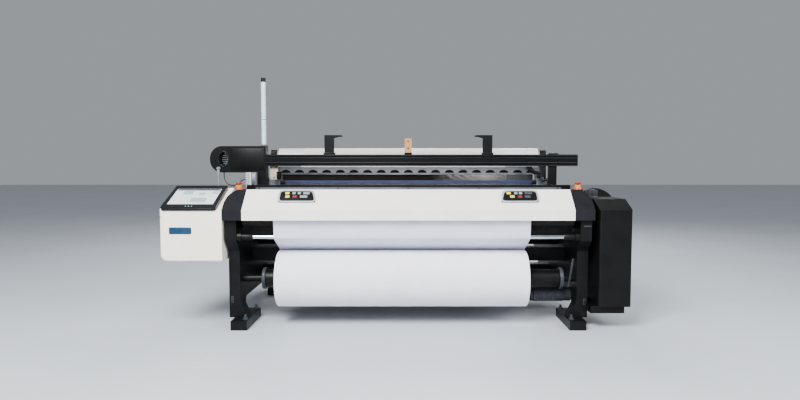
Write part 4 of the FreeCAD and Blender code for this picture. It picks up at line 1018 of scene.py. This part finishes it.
tag = block("beam_top_plate", (1.084, beam_low.y + 0.008, beam_high.z), (1.164, beam_high.y - 0.008,
                                                                     beam_high.z + 0.010), 0.003, 3)
dress(tag, "black_anodised", "frame", LIP_HIGHLIGHT)
screw_heads("beam_screws", [(x, beam_low.y - 0.0002, 1.139) for x in (-1.06, -0.66, 0.66, 1.12, 1.28)], "Y", 0.0065,
            -0.005)
screw_heads("beam_top_screws", [(x, 0.005, beam_high.z + 0.010) for x in (1.100, 1.148)], "Z", 0.0055, 0.004)

# %% Hooked guides and the beech block
for word, side in SIDES:
    x0, x1 = sorted((side * 0.577, side * 0.652))
    shoe = block(word + "_guide_shoe", (x0 - 0.008, -0.0095, 1.1842), (x1 + 0.008, 0.0195, 1.1980), 0.0025)
    dress(shoe, "black_paint")
    rib = plate(word + "_guide_rib", [((x0 + x1) / 2 - 0.004, 0.0148, 1.198), ((x0 + x1) / 2 - 0.004, 0.0300, 1.198),
                                      ((x0 + x1) / 2 - 0.004, 0.0148, 1.290)], (0.008, 0, 0), 0.001)
    dress(rib, "black_paint")
    tip0, tip1 = sorted((side * 0.514, side * 0.532))
    pad = block(word + "_guide_wear_pad", (tip0, -0.0058, 1.3190), (tip1, 0.0158, 1.3352), 0.002)
    dress(pad, "tablet_black")
    screw_heads(word + "_guide_screws", [((x0 + x1) / 2, -0.0052, z) for z in (1.215, 1.262)], "Y", 0.008, -0.005)
clamp = block("beech_block_clamp", (-0.0325, -0.0075, 1.1842), (0.0285, 0.0175, 1.1990), 0.002)
dress(clamp, "black_anodised")
screw_heads("beech_block_screws", [(-0.002, -0.0052, 1.232), (-0.002, -0.0052, 1.286)], "Y", 0.0055, -0.003)

# %% Temple bar and temples
bar_low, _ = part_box("temple_bar")
TEMPLE_GREY = coating("grey_anodised_profile", "#5f6269", "#4d5056", 140, 3, 0.34, 0.05, ALONG_X)
inlay = block("temple_bar_inlay", (-1.085, bar_low.y - 0.0022, 0.9325), (1.085, bar_low.y + 0.001, 0.9445), 0.001)
dress(inlay, "black_anodised", "frame", TEMPLE_GREY)
# The bar's ridges take the same lighter grey: painted highlight.
slots = [block("g", (-1.085, bar_low.y - 0.0016, z), (1.085, bar_low.y + 0.001, z + 0.002), 0.0006)
         for z in (0.9235, 0.9530)]
dress(joined("temple_bar_ridges", slots), "black_anodised", "frame", LIP_HIGHLIGHT)
screw_heads("temple_bar_screws", [(x, bar_low.y - 0.0022, 0.9385) for x in (-1.06, -0.5, 0.0, 0.5, 1.06)], "Y", 0.005,
            -0.003)
for word, x0 in (("left", -0.950), ("right", 0.675)):
    x1 = x0 + 0.190
    drum = turned(word + "_temple_drum", [(x0 + 0.012, 0.0)] + [(x0 + 0.012 + 0.0072 * i + d, r) for i in range(23)
                                                                for d, r in ((0.0, 0.0165), (0.0022, 0.0185),
                                                                             (0.0044, 0.0165))] + [(x1 - 0.012, 0.0)],
                  (x0, -0.3160, 0.9235), "X", 20)
    dress(drum, "steel")
    hood = block(word + "_temple_hood", (x0 + 0.006, -0.3690, 0.9452), (x1 - 0.006, -0.3010, 0.9500), 0.002)
    dress(hood, "steel", "frame", FINISHES["black_paint"])
    screw_heads(word + "_temple_screws", [(x0 + 0.03, -0.350, 0.950), (x1 - 0.03, -0.350, 0.950)], "Z", 0.0055, 0.004)

# %% [markdown]
# ## Heald frames
# A frame's hollow upper stave carries riders: black half-round plates, one every hundred millimetres or so,
# that keep the long rail for the healds from bowing. A narrow rail runs along both staves, and each stave has
# raised edges.

# %% Riders, rails and stave edges
RIDER_PITCH, RIDERS, RIDER_FOOT = 0.108, 19, 1.040
RIDER_HALF, RIDER_RISE = 0.037, 0.024     # half a rider's width, and its height over its flat foot
for number in range(4):
    low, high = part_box("heald_frame_%d" % (number + 1))
    body = "heald_body_%d" % (number + 1)
    left = -0.972
    rider = plate("rider", [(left + RIDER_HALF * math.cos(a), low.y - 0.0018, RIDER_FOOT + RIDER_RISE * math.sin(a))
                            for a in (math.pi * i / 12 for i in range(13))], (0, 0.0022, 0), 0.0)
    repeated(rider, RIDERS, (RIDER_PITCH, 0, 0))
    rider.name = rider.data.name = "upper_riders_%d" % (number + 1)
    dress(rider, "black_paint", body)
    middle = (low.y + high.y) / 2
    rails = [block("rail", (-1.004, middle - 0.0022, z), (1.004, middle + 0.0022, z + 0.007), 0.0008)
             for z in (0.7665, 1.0265)]
    dress(joined("heald_rails_%d" % (number + 1), rails), "steel", body)
    lips = [block("lip", (-1.02, low.y - 0.0014, z), (1.02, low.y + 0.0004, z + 0.003), 0.0006)
            for z in (1.0815, 1.0390, 0.7160, 0.7590)]
    # The stave edges take the same darker aluminium: painted shade.
    dress(joined("stave_edges_%d" % (number + 1), lips), "aluminium", body, FINISHES["stave"])
print("riders", 4 * RIDERS)

# %% Sley and reed fittings
for word, side in SIDES:
    x0, x1 = sorted((side * 0.940, side * 0.975))
    hold = block(word + "_reed_clamp", (x0, -0.1225, 0.9550), (x1, -0.0800, 0.9880), 0.003)
    dress(hold, "black_paint", "sley_body")
screw_heads("sley_rail_screws", [(-0.9 + 0.2 * i, -0.1502, 0.820) for i in range(10)], "Y", 0.008, -0.005,
            body="sley_body")
race = block("sley_race_strip", (-0.985, -0.1495, 0.8500), (0.985, -0.1120, 0.8535), 0.001)
dress(race, "steel", "sley_body", FINISHES["black_anodised"])

# %% [markdown]
# ## The rapier end on the left
# The housing on the left carries a sensor ring for the incoming yarns, and in front of it stands the weft
# selector: a strip with square windows, one for each yarn finger, with a blue edge, and a grey actuator block
# beside it. Dark teal pipes cross behind the ring's opening.

# %% Ring, selector and plates
RING_PIPES = range(6)
ring_rods = [rod("q", (-1.475, 0.060, 1.108 + 0.0155 * i), (-1.388, 0.060, 1.108 + 0.0155 * i), 0.0064, 0.0005, 14)
             for i in RING_PIPES]
TEAL = coating("teal_polyurethane_pipe", "#12303a", "#0c2229", 20, 1.5, 0.35, 0.03)
dress(joined("yarn_pipes", ring_rods), "cable_jacket", "frame", TEAL)
ring_trim = []
for y in (-0.0212, 0.0690):
    clear()
    bpy.ops.mesh.primitive_torus_add(major_segments=48, minor_segments=10, major_radius=0.040, minor_radius=0.0042,
                                     location=(-1.432, y + 0.001, 1.147), rotation=(math.radians(90), 0, 0))
    trim = settle("trim")
    only(trim)
    bpy.ops.object.mode_set(mode="EDIT")
    bpy.ops.mesh.select_all(action="SELECT")
    bpy.ops.transform.resize(value=(1.0, 1.0, 1.46), center_override=(-1.432, y, 1.147))
    bpy.ops.object.mode_set(mode="OBJECT")
    ring_trim.append(trim)
dress(joined("ring_rubber_trim", ring_trim), "tablet_black")
print("yarn pipes", len(RING_PIPES))

# %% Housing panel and weft selector
panel = block("housing_front_panel", (-1.380, -0.0225, 1.062), (-1.118, -0.0195, 1.232), 0.0012)
dress(panel, "black_paint")
screw_heads("housing_screws", [(x, -0.0225, z) for x in (-1.368, -1.130) for z in (1.074, 1.220)], "Y", 0.005, -0.003)
strip = block("selector_strip", (-1.2445, -0.0835, 0.9290), (-1.2045, -0.0798, 1.0440), 0.001)
dress(strip, "grey_plastic", "frame", coating("pale_selector_strip", "#c9ccd1", "#b4b8be", 40, 2, 0.4, 0.03))
# Each window is a black square on the strip: painted shade for its opening.
window = block("window", (-1.2400, -0.0842, 0.9340), (-1.2315, -0.0834, 0.9425), 0.0003, 1)
dress(copied("selector_window_shades", window, [Matrix.Translation((0.0135 * j, 0, 0.0137 * i)) for i in range(8)
                                          for j in range(2)]), "tablet_black")
dress(block("selector_blue_edge", (-1.2040, -0.0842, 0.9290), (-1.2005, -0.0798, 1.0440), 0.0008), "grey_plastic",
      "frame", coating("blue_edge_strip", "#2a6fb8", "#205f9f", 30, 2, 0.4, 0.02))
dress(block("selector_actuator", (-1.1995, -0.0845, 0.9350), (-1.1680, -0.0798, 1.0400), 0.002), "grey_plastic")
SELECTOR_LEVERS = range(3)
levers = [block("v", (-1.196 + 0.009 * i, -0.0925, 0.9400), (-1.191 + 0.009 * i, -0.0845, 1.0300), 0.001)
          for i in SELECTOR_LEVERS]
dress(joined("selector_levers", levers), "steel")
print("selector levers", len(SELECTOR_LEVERS))

# %% Plates and guides beside the healds
BEIGE = coating("beige_sealed_plate", "#b6ab9a", "#a2978a", 50, 3, 0.5, 0.05)
dress(block("lift_end_plate", (-1.0780, 0.0020, 0.9890), (-1.0160, 0.0070, 1.0940), 0.0015), "grey_plastic", "frame",
      BEIGE)
screw_heads("lift_end_screws", [(-1.068, 0.0018, 1.080), (-1.027, 0.0018, 1.080), (-1.047, 0.0018, 1.005)], "Y",
            0.0045, -0.003)
scoop = turned("yarn_scoop", [(0.9900, 0.010), (0.9900, 0.014), (1.0100, 0.019), (1.0300, 0.016), (1.0500, 0.020),
                              (1.0500, 0.017), (1.0300, 0.013), (1.0100, 0.015), (0.9900, 0.010)],
               (-1.0080, -0.0050, 1.00), "Z", 24)
dress(scoop, "black_paint")
arm = plate("right_lift_guide", [(0.915, -0.004, 1.090), (0.960, -0.004, 1.090), (0.985, -0.004, 1.060),
                                 (1.040, -0.004, 1.048), (1.050, -0.004, 1.030), (0.980, -0.004, 1.030),
                                 (0.935, -0.004, 1.058)], (0, 0.010, 0), 0.002)
dress(arm, "black_paint")
dress(joined("right_lift_fittings", [block("f", (1.000, -0.012, 1.000), (1.030, 0.010, 1.030), 0.002),
                                     rod("f", (1.060, -0.010, 0.985), (1.060, -0.010, 1.094), 0.006),
                                     block("f", (1.045, -0.018, 0.975), (1.076, 0.004, 0.992), 0.002)]), "black_paint")

# %% [markdown]
# ## Rollers and their ends
# Where a shaft meets a side frame, a round bearing cap with four screws closes the casting. The cloth roll's
# core is gripped between two grey collars, the backrest tube ends in brown rings, and the chrome guide bar
# is held in black clamps. Each cap is one profile spun round the shaft's axis.

# %% Collars, sleeves and clamps
ROLL_AXIS = (ROLL[0], ROLL[1])
for word, x in (("left", -1.0105), ("right", 1.0475)):
    collar = turned(word + "_core_collar", [(x, 0.066), (x, 0.0735), (x + 0.003, 0.0752), (x + 0.020, 0.0752),
                                            (x + 0.023, 0.0735), (x + 0.023, 0.066), (x, 0.066)],
                    (0, *ROLL_AXIS), "X", 48)
    dress(collar, "steel", "cloth_roll_body", FINISHES["motor_grey"])
for word, side in SIDES:
    x0, x1 = sorted((side * 1.1215, side * 1.1335))
    sleeve = turned(word + "_backrest_sleeve", [(x0, 0.0690), (x0, 0.0712), (x0 + 0.004, 0.0718), (x1 - 0.004, 0.0718),
                                                (x1, 0.0712), (x1, 0.0690), (x0, 0.0690)], (0, 0.600, 1.174), "X", 48)
    dress(sleeve, "black_paint", "backrest_body",
          coating(word + "_brown_end_ring", "#8a6f5a", "#755c49", 30, 2, 0.5, 0.05))
    x0, x1 = sorted((side * 1.045, side * 1.1505))
    clamp = turned(word + "_bar_clamp", [(x0, 0.0155), (x0, 0.0215), (x0 + 0.004, 0.0240), (x1 - 0.030, 0.0240),
                                         (x1 - 0.030, 0.0330), (x1 - 0.002, 0.0345), (x1, 0.0345), (x1, 0.0155),
                                         (x0, 0.0155)] if side > 0 else
                   [(x0, 0.0155), (x0, 0.0345), (x0 + 0.002, 0.0345), (x0 + 0.030, 0.0330), (x0 + 0.030, 0.0240),
                    (x1 - 0.004, 0.0240), (x1, 0.0215), (x1, 0.0155), (x0, 0.0155)],
                   (0, GUIDE[0], GUIDE[1]), "X", 32)
    dress(clamp, "black_paint")
print("collars, end rings and clamps", 3 * len(SIDES))

# %% Bearing caps on the side frames
OUTER = 1.225
BEARINGS = [("warp", 0.740, 0.450, 0.068, 0.018), ("roll", -0.540, 0.316, 0.052, 0.014),
            ("sand", -0.5619, 0.692, 0.046, 0.009), ("rocker", -0.060, 0.520, 0.056, 0.018)]
for label, y, z, radius, height in BEARINGS:
    for word, side in SIDES:
        if label == "rocker" and side > 0:
            continue
        near, far = side * (OUTER - 0.0005), side * (OUTER + height)
        hub = turned("%s_%s_cap" % (word, label), [(near, 0.0), (near, radius), (far - side * 0.004, radius),
                                                   (far - side * 0.003, radius * 0.62), (far, radius * 0.58),
                                                   (far, 0.0)], (0, y, z), "X", 40, 0.001)
        dress(hub, "motor_grey")
        spots = [(side * (OUTER + height - 0.005), y + radius * 0.80 * math.cos(a), z + radius * 0.80 * math.sin(a))
                 for a in (math.pi * (i / 2 + 0.25) for i in range(4))]
        screw_heads("%s_%s_cap_screws" % (word, label), spots, "X", radius * 0.10, side * 0.006)

# %% [markdown]
# ## Side frames and feet
# The castings are joined to the cross beams by rows of large screws, carry a short rib or two, and have a
# narrow slot and a plug low on each front leg. A small grey strip sits high on the right leg. Levelling nuts
# stand on the foot plates.

# %% Legs and feet
for word, side in SIDES:
    face_y = -0.6403
    x0, x1 = sorted((side * 1.196, side * 1.212))
    slot_z = 0.164 if side < 0 else 0.146
    frame_in = block("s", (x0, face_y - 0.002, slot_z), (x1, face_y + 0.003, slot_z + 0.046), 0.002)
    # The slot's gap is a black block set into the grey plate: painted shade.
    slot_shade = block("s", (x0 + 0.0045, face_y - 0.0026, slot_z + 0.0045), (x1 - 0.0045, face_y, slot_z + 0.0415), 0.001)
    dress(frame_in, "motor_grey")
    frame_in.name = frame_in.data.name = word + "_leg_slot"
    slot_shade.name = slot_shade.data.name = word + "_leg_slot_shade"
    dress(slot_shade, "tablet_black")
    screw_heads(word + "_leg_plug", [(side * 1.206, face_y, 0.113)], "Y", 0.008, -0.005)
    beams = [(side * OUTER, y, z) for y, z in ((-0.275, 0.425), (-0.225, 0.475), (-0.225, 0.425), (-0.275, 0.475),
                                               (0.175, 0.225), (0.225, 0.275), (0.175, 0.275), (0.225, 0.225))
             if side < 0 or y > -0.2]
    screw_heads(word + "_beam_bolts", beams, "X", 0.011, side * 0.010)
    ribs = [plate("rib", [(side * OUTER, 0.260, z), (side * OUTER, 0.620, z), (side * OUTER, 0.620, z + 0.014),
                          (side * OUTER, 0.260, z + 0.014)], (side * 0.008, 0, 0), 0.002) for z in (0.640, 0.800)]
    ribs.append(plate("rib", [(side * OUTER, 0.290, 0.654), (side * OUTER, 0.304, 0.654), (side * OUTER, 0.304, 0.800),
                              (side * OUTER, 0.290, 0.800)], (side * 0.008, 0, 0), 0.002))
    dress(joined(word + "_casting_ribs", ribs), "frame_paint")
    clear()
    bpy.ops.mesh.primitive_cylinder_add(vertices=6, radius=0.017, depth=0.013, location=(side * 1.103, 0, 0.0685))
    nut = joined("nut", [eased(settle("nut"), 0.0012),
                         rod("stud", (side * 1.103, 0, 0.062), (side * 1.103, 0, 0.094), 0.0085, 0.001, 16),
                         rod("washer", (side * 1.103, 0, 0.0618), (side * 1.103, 0, 0.0635), 0.0205, 0.0005, 24)])
    moves = [Matrix.Translation((0, y, 0)) for y in (-0.690, -0.392, 0.392, 0.690)]
    dress(copied(word + "_levelling_nuts", nut, moves), "motor_grey")
strip = block("level_strip", (1.170, -0.7225, 0.694), (1.222, -0.7185, 0.702), 0.001)
dress(strip, "motor_grey")
bar = plate("inner_strut", [(1.106, -0.566, 0.258), (1.120, -0.566, 0.255), (1.152, -0.566, 0.455),
                            (1.138, -0.566, 0.458)], (0, 0.010, 0), 0.002)
dress(bar, "motor_grey")

# %% [markdown]
# ## Cabinets
# The cream cabinet has a hairline joint and a quarter-turn lock on its side, a plain slate-blue plate on its
# front, louvres on its outer side and cable glands below. The black drive cabinet on the right has a joint
# along its top chamfer, a finned vent and a round knob beside it, and louvres on its outer side.

# %% Control cabinet
outline = rounded_outline([(-1.437, -0.7490, 0.694), (-1.586, -0.7490, 0.694), (-1.586, -0.7490, 0.648),
                           (-1.437, -0.7490, 0.648)], 0.009)
dress(plate("front_colour_plate", outline, (0, -0.0032, 0), 0.0006), "grey_plastic", "frame",
      coating("slate_blue_plate", "#0a3656", "#082d49", 40, 2, 0.35, 0.02))
GAP = coating("shadowed_joint", "#6b6963", "#5a5853", 60, 3, 0.7, 0.02)
dress(joined("cabinet_joint", [block("g", (-1.6482, -0.700, 0.7615), (-1.6462, -0.440, 0.7635), 0.0002, 1),
                               block("g", (-1.6482, -0.7512, 0.7605), (-1.6280, -0.7485, 0.7645), 0.0002, 1),
                               block("g", (-1.6482, -0.442, 0.500), (-1.6462, -0.439, 0.880), 0.0002, 1)]),
      "grey_plastic", "frame", GAP)
louvre = plate("cabinet_louvres", [(-1.6466, -0.660, 0.5400), (-1.6500, -0.660, 0.5400), (-1.6466, -0.660, 0.5490)],
               (0, 0.150, 0), 0.0)
dress(repeated(louvre, 9, (0, 0, 0.018)), "cabinet_cream")
lock = turned("cabinet_lock", [(-1.6465, 0.0), (-1.6465, 0.0125), (-1.6490, 0.0125), (-1.6500, 0.0100), (-1.6500, 0.0)],
              (-1.65, -0.475, 0.640), "X", 28)
dress(lock, "steel")
gland = turned("cabinet_glands", [(0.4664, 0.0), (0.4664, 0.0150), (0.4560, 0.0150), (0.4560, 0.0120), (0.4460, 0.0110),
                                  (0.4440, 0.0060), (0.4440, 0.0)], (-1.560, -0.520, 0.46), "Z", 20)
dress(repeated(gland, 4, (0.060, 0, 0)), "tablet_black")

# %% Drive cabinet
dress(block("drive_top_joint", (1.3700, -0.7200, 0.8722), (1.3730, -0.4400, 0.8742), 0.0003, 1), "black_paint",
      "frame", FINISHES["motor_grey"])
fin = block("fin", (1.2760, -0.4600, 0.8740), (1.2804, -0.3700, 0.9280), 0.0008)
fins = [repeated(fin, 7, (0.0092, 0, 0))]
base = block("f", (1.2730, -0.4620, 0.8728), (1.3380, -0.3680, 0.8850), 0.002)
top = block("f", (1.2730, -0.4560, 0.9060), (1.3380, -0.3740, 0.9120), 0.001)
dress(joined("drive_vent", fins + [base, top]), "motor_grey")
knob = joined("hand_knob", [turned("k", [(0.9130, 0.0), (0.9130, 0.0090), (0.9180, 0.0150), (0.9290, 0.0175),
                                         (0.9400, 0.0160), (0.9470, 0.0100), (0.9490, 0.0)],
                                   (1.206, -0.492, 0.93), "Z", 32),
                            rod("k", (1.206, -0.492, 0.8690), (1.206, -0.492, 0.9150), 0.0060),
                            rod("k", (1.206, -0.492, 0.8690), (1.206, -0.492, 0.8780), 0.0150)])
dress(knob, "tablet_black")
louvre = plate("drive_louvres", [(1.4856, -0.640, 0.300), (1.4890, -0.640, 0.300), (1.4856, -0.640, 0.310)],
               (0, 0.200, 0), 0.0)
dress(repeated(louvre, 12, (0, 0, 0.020)), "black_paint")
screw_heads("drive_side_screws", [(1.4856, y, z) for y in (-0.715, -0.365) for z in (0.195, 0.800)], "X", 0.006, 0.004)

# %% [markdown]
# ## Motors and gearboxes
# The main motor is a ribbed cylinder with a terminal box; the take-up motor by the cloth roll is its smaller
# sister. Cooling ribs run round both. The rapier gearboxes are castings with a split line and a screwed lid.

# %% Motors
MAIN_MOTOR, TAKE_UP_MOTOR = (0, -0.030, 0.470), (0, -0.450, 0.187)
rib = turned("main_motor_ribs", [(1.285, 0.1090), (1.285, 0.1150), (1.2885, 0.1150), (1.2885, 0.1090),
                                 (1.285, 0.1090)], MAIN_MOTOR, "X", 40)
dress(repeated(rib, 16, (0.0105, 0, 0)), "motor_grey")
shroud = turned("main_motor_shroud", [(1.4680, 0.0), (1.4680, 0.1130), (1.4790, 0.1130), (1.4830, 0.1060),
                                      (1.4830, 0.0)], MAIN_MOTOR, "X", 48)
dress(shroud, "black_paint")
for ring, count in enumerate((8, 14, 20)):
    radius = 0.032 + 0.024 * ring
    slit = block("slit", (1.4826, -0.034 + radius, 0.4660), (1.4842, -0.026 + radius, 0.4740), 0.0006, 1)
    dress(ringed("motor_fan_grille_%d" % (ring + 1), slit, count, "X", MAIN_MOTOR), "motor_grey")
dress(block("motor_terminal_box", (1.330, -0.080, 0.578), (1.420, 0.020, 0.622), 0.006, 3), "motor_grey")
rib = turned("take_up_motor_ribs", [(0.892, 0.0495), (0.892, 0.0530), (0.896, 0.0530), (0.896, 0.0495),
                                    (0.892, 0.0495)], TAKE_UP_MOTOR, "X", 32)
dress(repeated(rib, 20, (0.0105, 0, 0)), "motor_grey")
dress(turned("take_up_end_cap", [(0.8640, 0.0), (0.8640, 0.0380), (0.8670, 0.0480), (0.8860, 0.0515), (0.8860, 0.0)],
             TAKE_UP_MOTOR, "X", 32), "black_paint")

# %% Gearboxes and wheels
for word, side in SIDES:
    x0, x1 = sorted((side * 1.232, side * 1.493))
    dress(joined(word + "_gearbox_lines", [
        block("l", (x0, -0.1130, 0.758), (x1, -0.1115, 0.762), 0.0004, 1),
        block("l", (x0, 0.0495, 0.758), (x1, 0.0512, 0.762), 0.0004, 1)]), "frame_paint", "frame",
        FINISHES["tablet_black"])
    lid = block(word + "_gearbox_lid", (x0 + 0.02, 0.0490, 0.670), (x1 - 0.02, 0.0560, 0.850), 0.003, 3)
    dress(lid, "frame_paint")
    screw_heads(word + "_lid_screws", [(x, 0.0560, z) for x in (x0 + 0.034, (x0 + x1) / 2, x1 - 0.034)
                                       for z in (0.684, 0.836)], "Y", 0.006, 0.005)
    x, z = side * 1.400, 0.7607
    spoke = plate("spoke", [(x + 0.036, -0.1512, z - 0.0070), (x + 0.132, -0.1512, z - 0.0050),
                            (x + 0.132, -0.1512, z + 0.0050), (x + 0.036, -0.1512, z + 0.0070)], (0, 0.012, 0), 0.001)
    dress(ringed(word + "_wheel_spokes", spoke, 6, "Y", (x, 0, z)), "steel", word + "_wheel_body")
    hub = turned(word + "_wheel_hub", [(-0.1620, 0.0), (-0.1620, 0.0180), (-0.1590, 0.0300), (-0.1495, 0.0340),
                                       (-0.1495, 0.0)], (x, -0.16, z), "Y", 36)
    dress(hub, "steel", word + "_wheel_body", FINISHES["black_anodised"])
    screw_heads(word + "_hub_screws", [(x + 0.023 * math.cos(a), -0.1600, z + 0.023 * math.sin(a))
                                       for a in (2 * math.pi * i / 6 for i in range(6))], "Y", 0.0042, -0.004,
                body=word + "_wheel_body")
    tip0, tip1 = sorted((side * 0.985, side * 1.032))
    tip = block(word + "_head_gripper", (tip0, -0.1480, 0.9205), (tip1, -0.1260, 0.9245), 0.002)
    dress(tip, "steel", word + "_rapier_body", FINISHES["black_anodised"])

# %% [markdown]
# ## Behind the loom
# The warp beam's discs are dished aluminium with radial ribs, a rolled rim and a ring of screws at the hub; a
# toothed ring on the right one takes the let-off drive. A pipe for oil runs along the rear beam in clips.

# %% Warp beam discs
BEAM_AXIS = (0, BEAM[0], BEAM[1])
for word, side, face in (("left", -1, -0.929), ("right", 1, 0.844)):
    far = face + side * 0.010
    rim = turned(word + "_disc_rim", [(face - side * 0.002, 0.385), (face - side * 0.002, 0.398), (far, 0.398),
                                      (far, 0.385), (face - side * 0.002, 0.385)], BEAM_AXIS, "X", 96)
    dress(rim, "aluminium", "warp_beam_body")
    rib = plate("rib", [(face, BEAM[0] + 0.100, BEAM[1] - 0.005), (face, BEAM[0] + 0.387, BEAM[1] - 0.005),
                        (face, BEAM[0] + 0.387, BEAM[1] + 0.005), (face, BEAM[0] + 0.100, BEAM[1] + 0.005)],
                (side * 0.009, 0, 0), 0.001)
    dress(ringed(word + "_disc_ribs", rib, 10, "X", BEAM_AXIS), "aluminium", "warp_beam_body")
    boss = turned(word + "_disc_boss", [(face - side * 0.001, 0.0360), (face - side * 0.001, 0.1080),
                                        (face + side * 0.014, 0.1020), (face + side * 0.022, 0.0700),
                                        (face + side * 0.060, 0.0580), (face + side * 0.060, 0.0360),
                                        (face - side * 0.001, 0.0360)], BEAM_AXIS, "X", 64)
    dress(boss, "aluminium", "warp_beam_body", FINISHES["steel"])
    screw_heads(word + "_disc_screws", [(face + side * 0.0155, BEAM[0] + 0.088 * math.cos(a),
                                         BEAM[1] + 0.088 * math.sin(a)) for a in (math.pi * i / 4 for i in range(8))],
                "X", 0.007, side * 0.007, body="warp_beam_body")
tooth_corners = [(-0.0040, 0.138), (0.0040, 0.138), (0.0022, 0.1470), (-0.0022, 0.1470)]
tooth = plate("let_off_teeth", [(0.930, BEAM[0] + across, BEAM[1] + up) for across, up in tooth_corners],
              (0.024, 0, 0), 0.0)
teeth = ringed("teeth", tooth, 72, "X", BEAM_AXIS)
gear = turned("let_off_ring", [(0.9300, 0.0550), (0.9300, 0.1385), (0.9540, 0.1385), (0.9540, 0.1200), (0.9460, 0.1180),
                               (0.9460, 0.0750), (0.9540, 0.0730), (0.9540, 0.0550), (0.9300, 0.0550)], BEAM_AXIS,
              "X", 72)
dress(joined("let_off_gear", [gear, teeth]), "steel", "warp_beam_body")

# %% Oil pipe and rear beam screws
pipe = [rod("p", (-1.120, 0.2575, 0.288), (1.120, 0.2575, 0.288), 0.0045, 0.0, 12)]
pipe += [block("clip", (x, 0.2492, 0.280), (x + 0.016, 0.2640, 0.296), 0.0015)
         for x in (-1.0, -0.6, -0.2, 0.2, 0.6, 1.0)]
dress(joined("oil_pipe", pipe), "steel", "frame", coating("copper_oil_pipe", "#b87a55", "#9c6242", 40, 2, 0.35, 0.02,
                                                        ALONG_X, metal=1.0))
screw_heads("rear_beam_screws", [(x, 0.2502, 0.222) for x in (-1.10, -0.55, 0.0, 0.55, 1.10)], "Y", 0.009, 0.006)
for word, side in SIDES:
    screw_heads(word + "_bracket_screws", [(side * 1.190, y, z) for y in (0.560, 0.640) for z in (0.895, 0.960)], "X",
                0.008, side * 0.006)
    screw_heads(word + "_guide_rail_screws", [(side * 1.088, 0.1552, z) for z in (0.830, 0.900, 0.970)], "Y", 0.006,
                0.004)
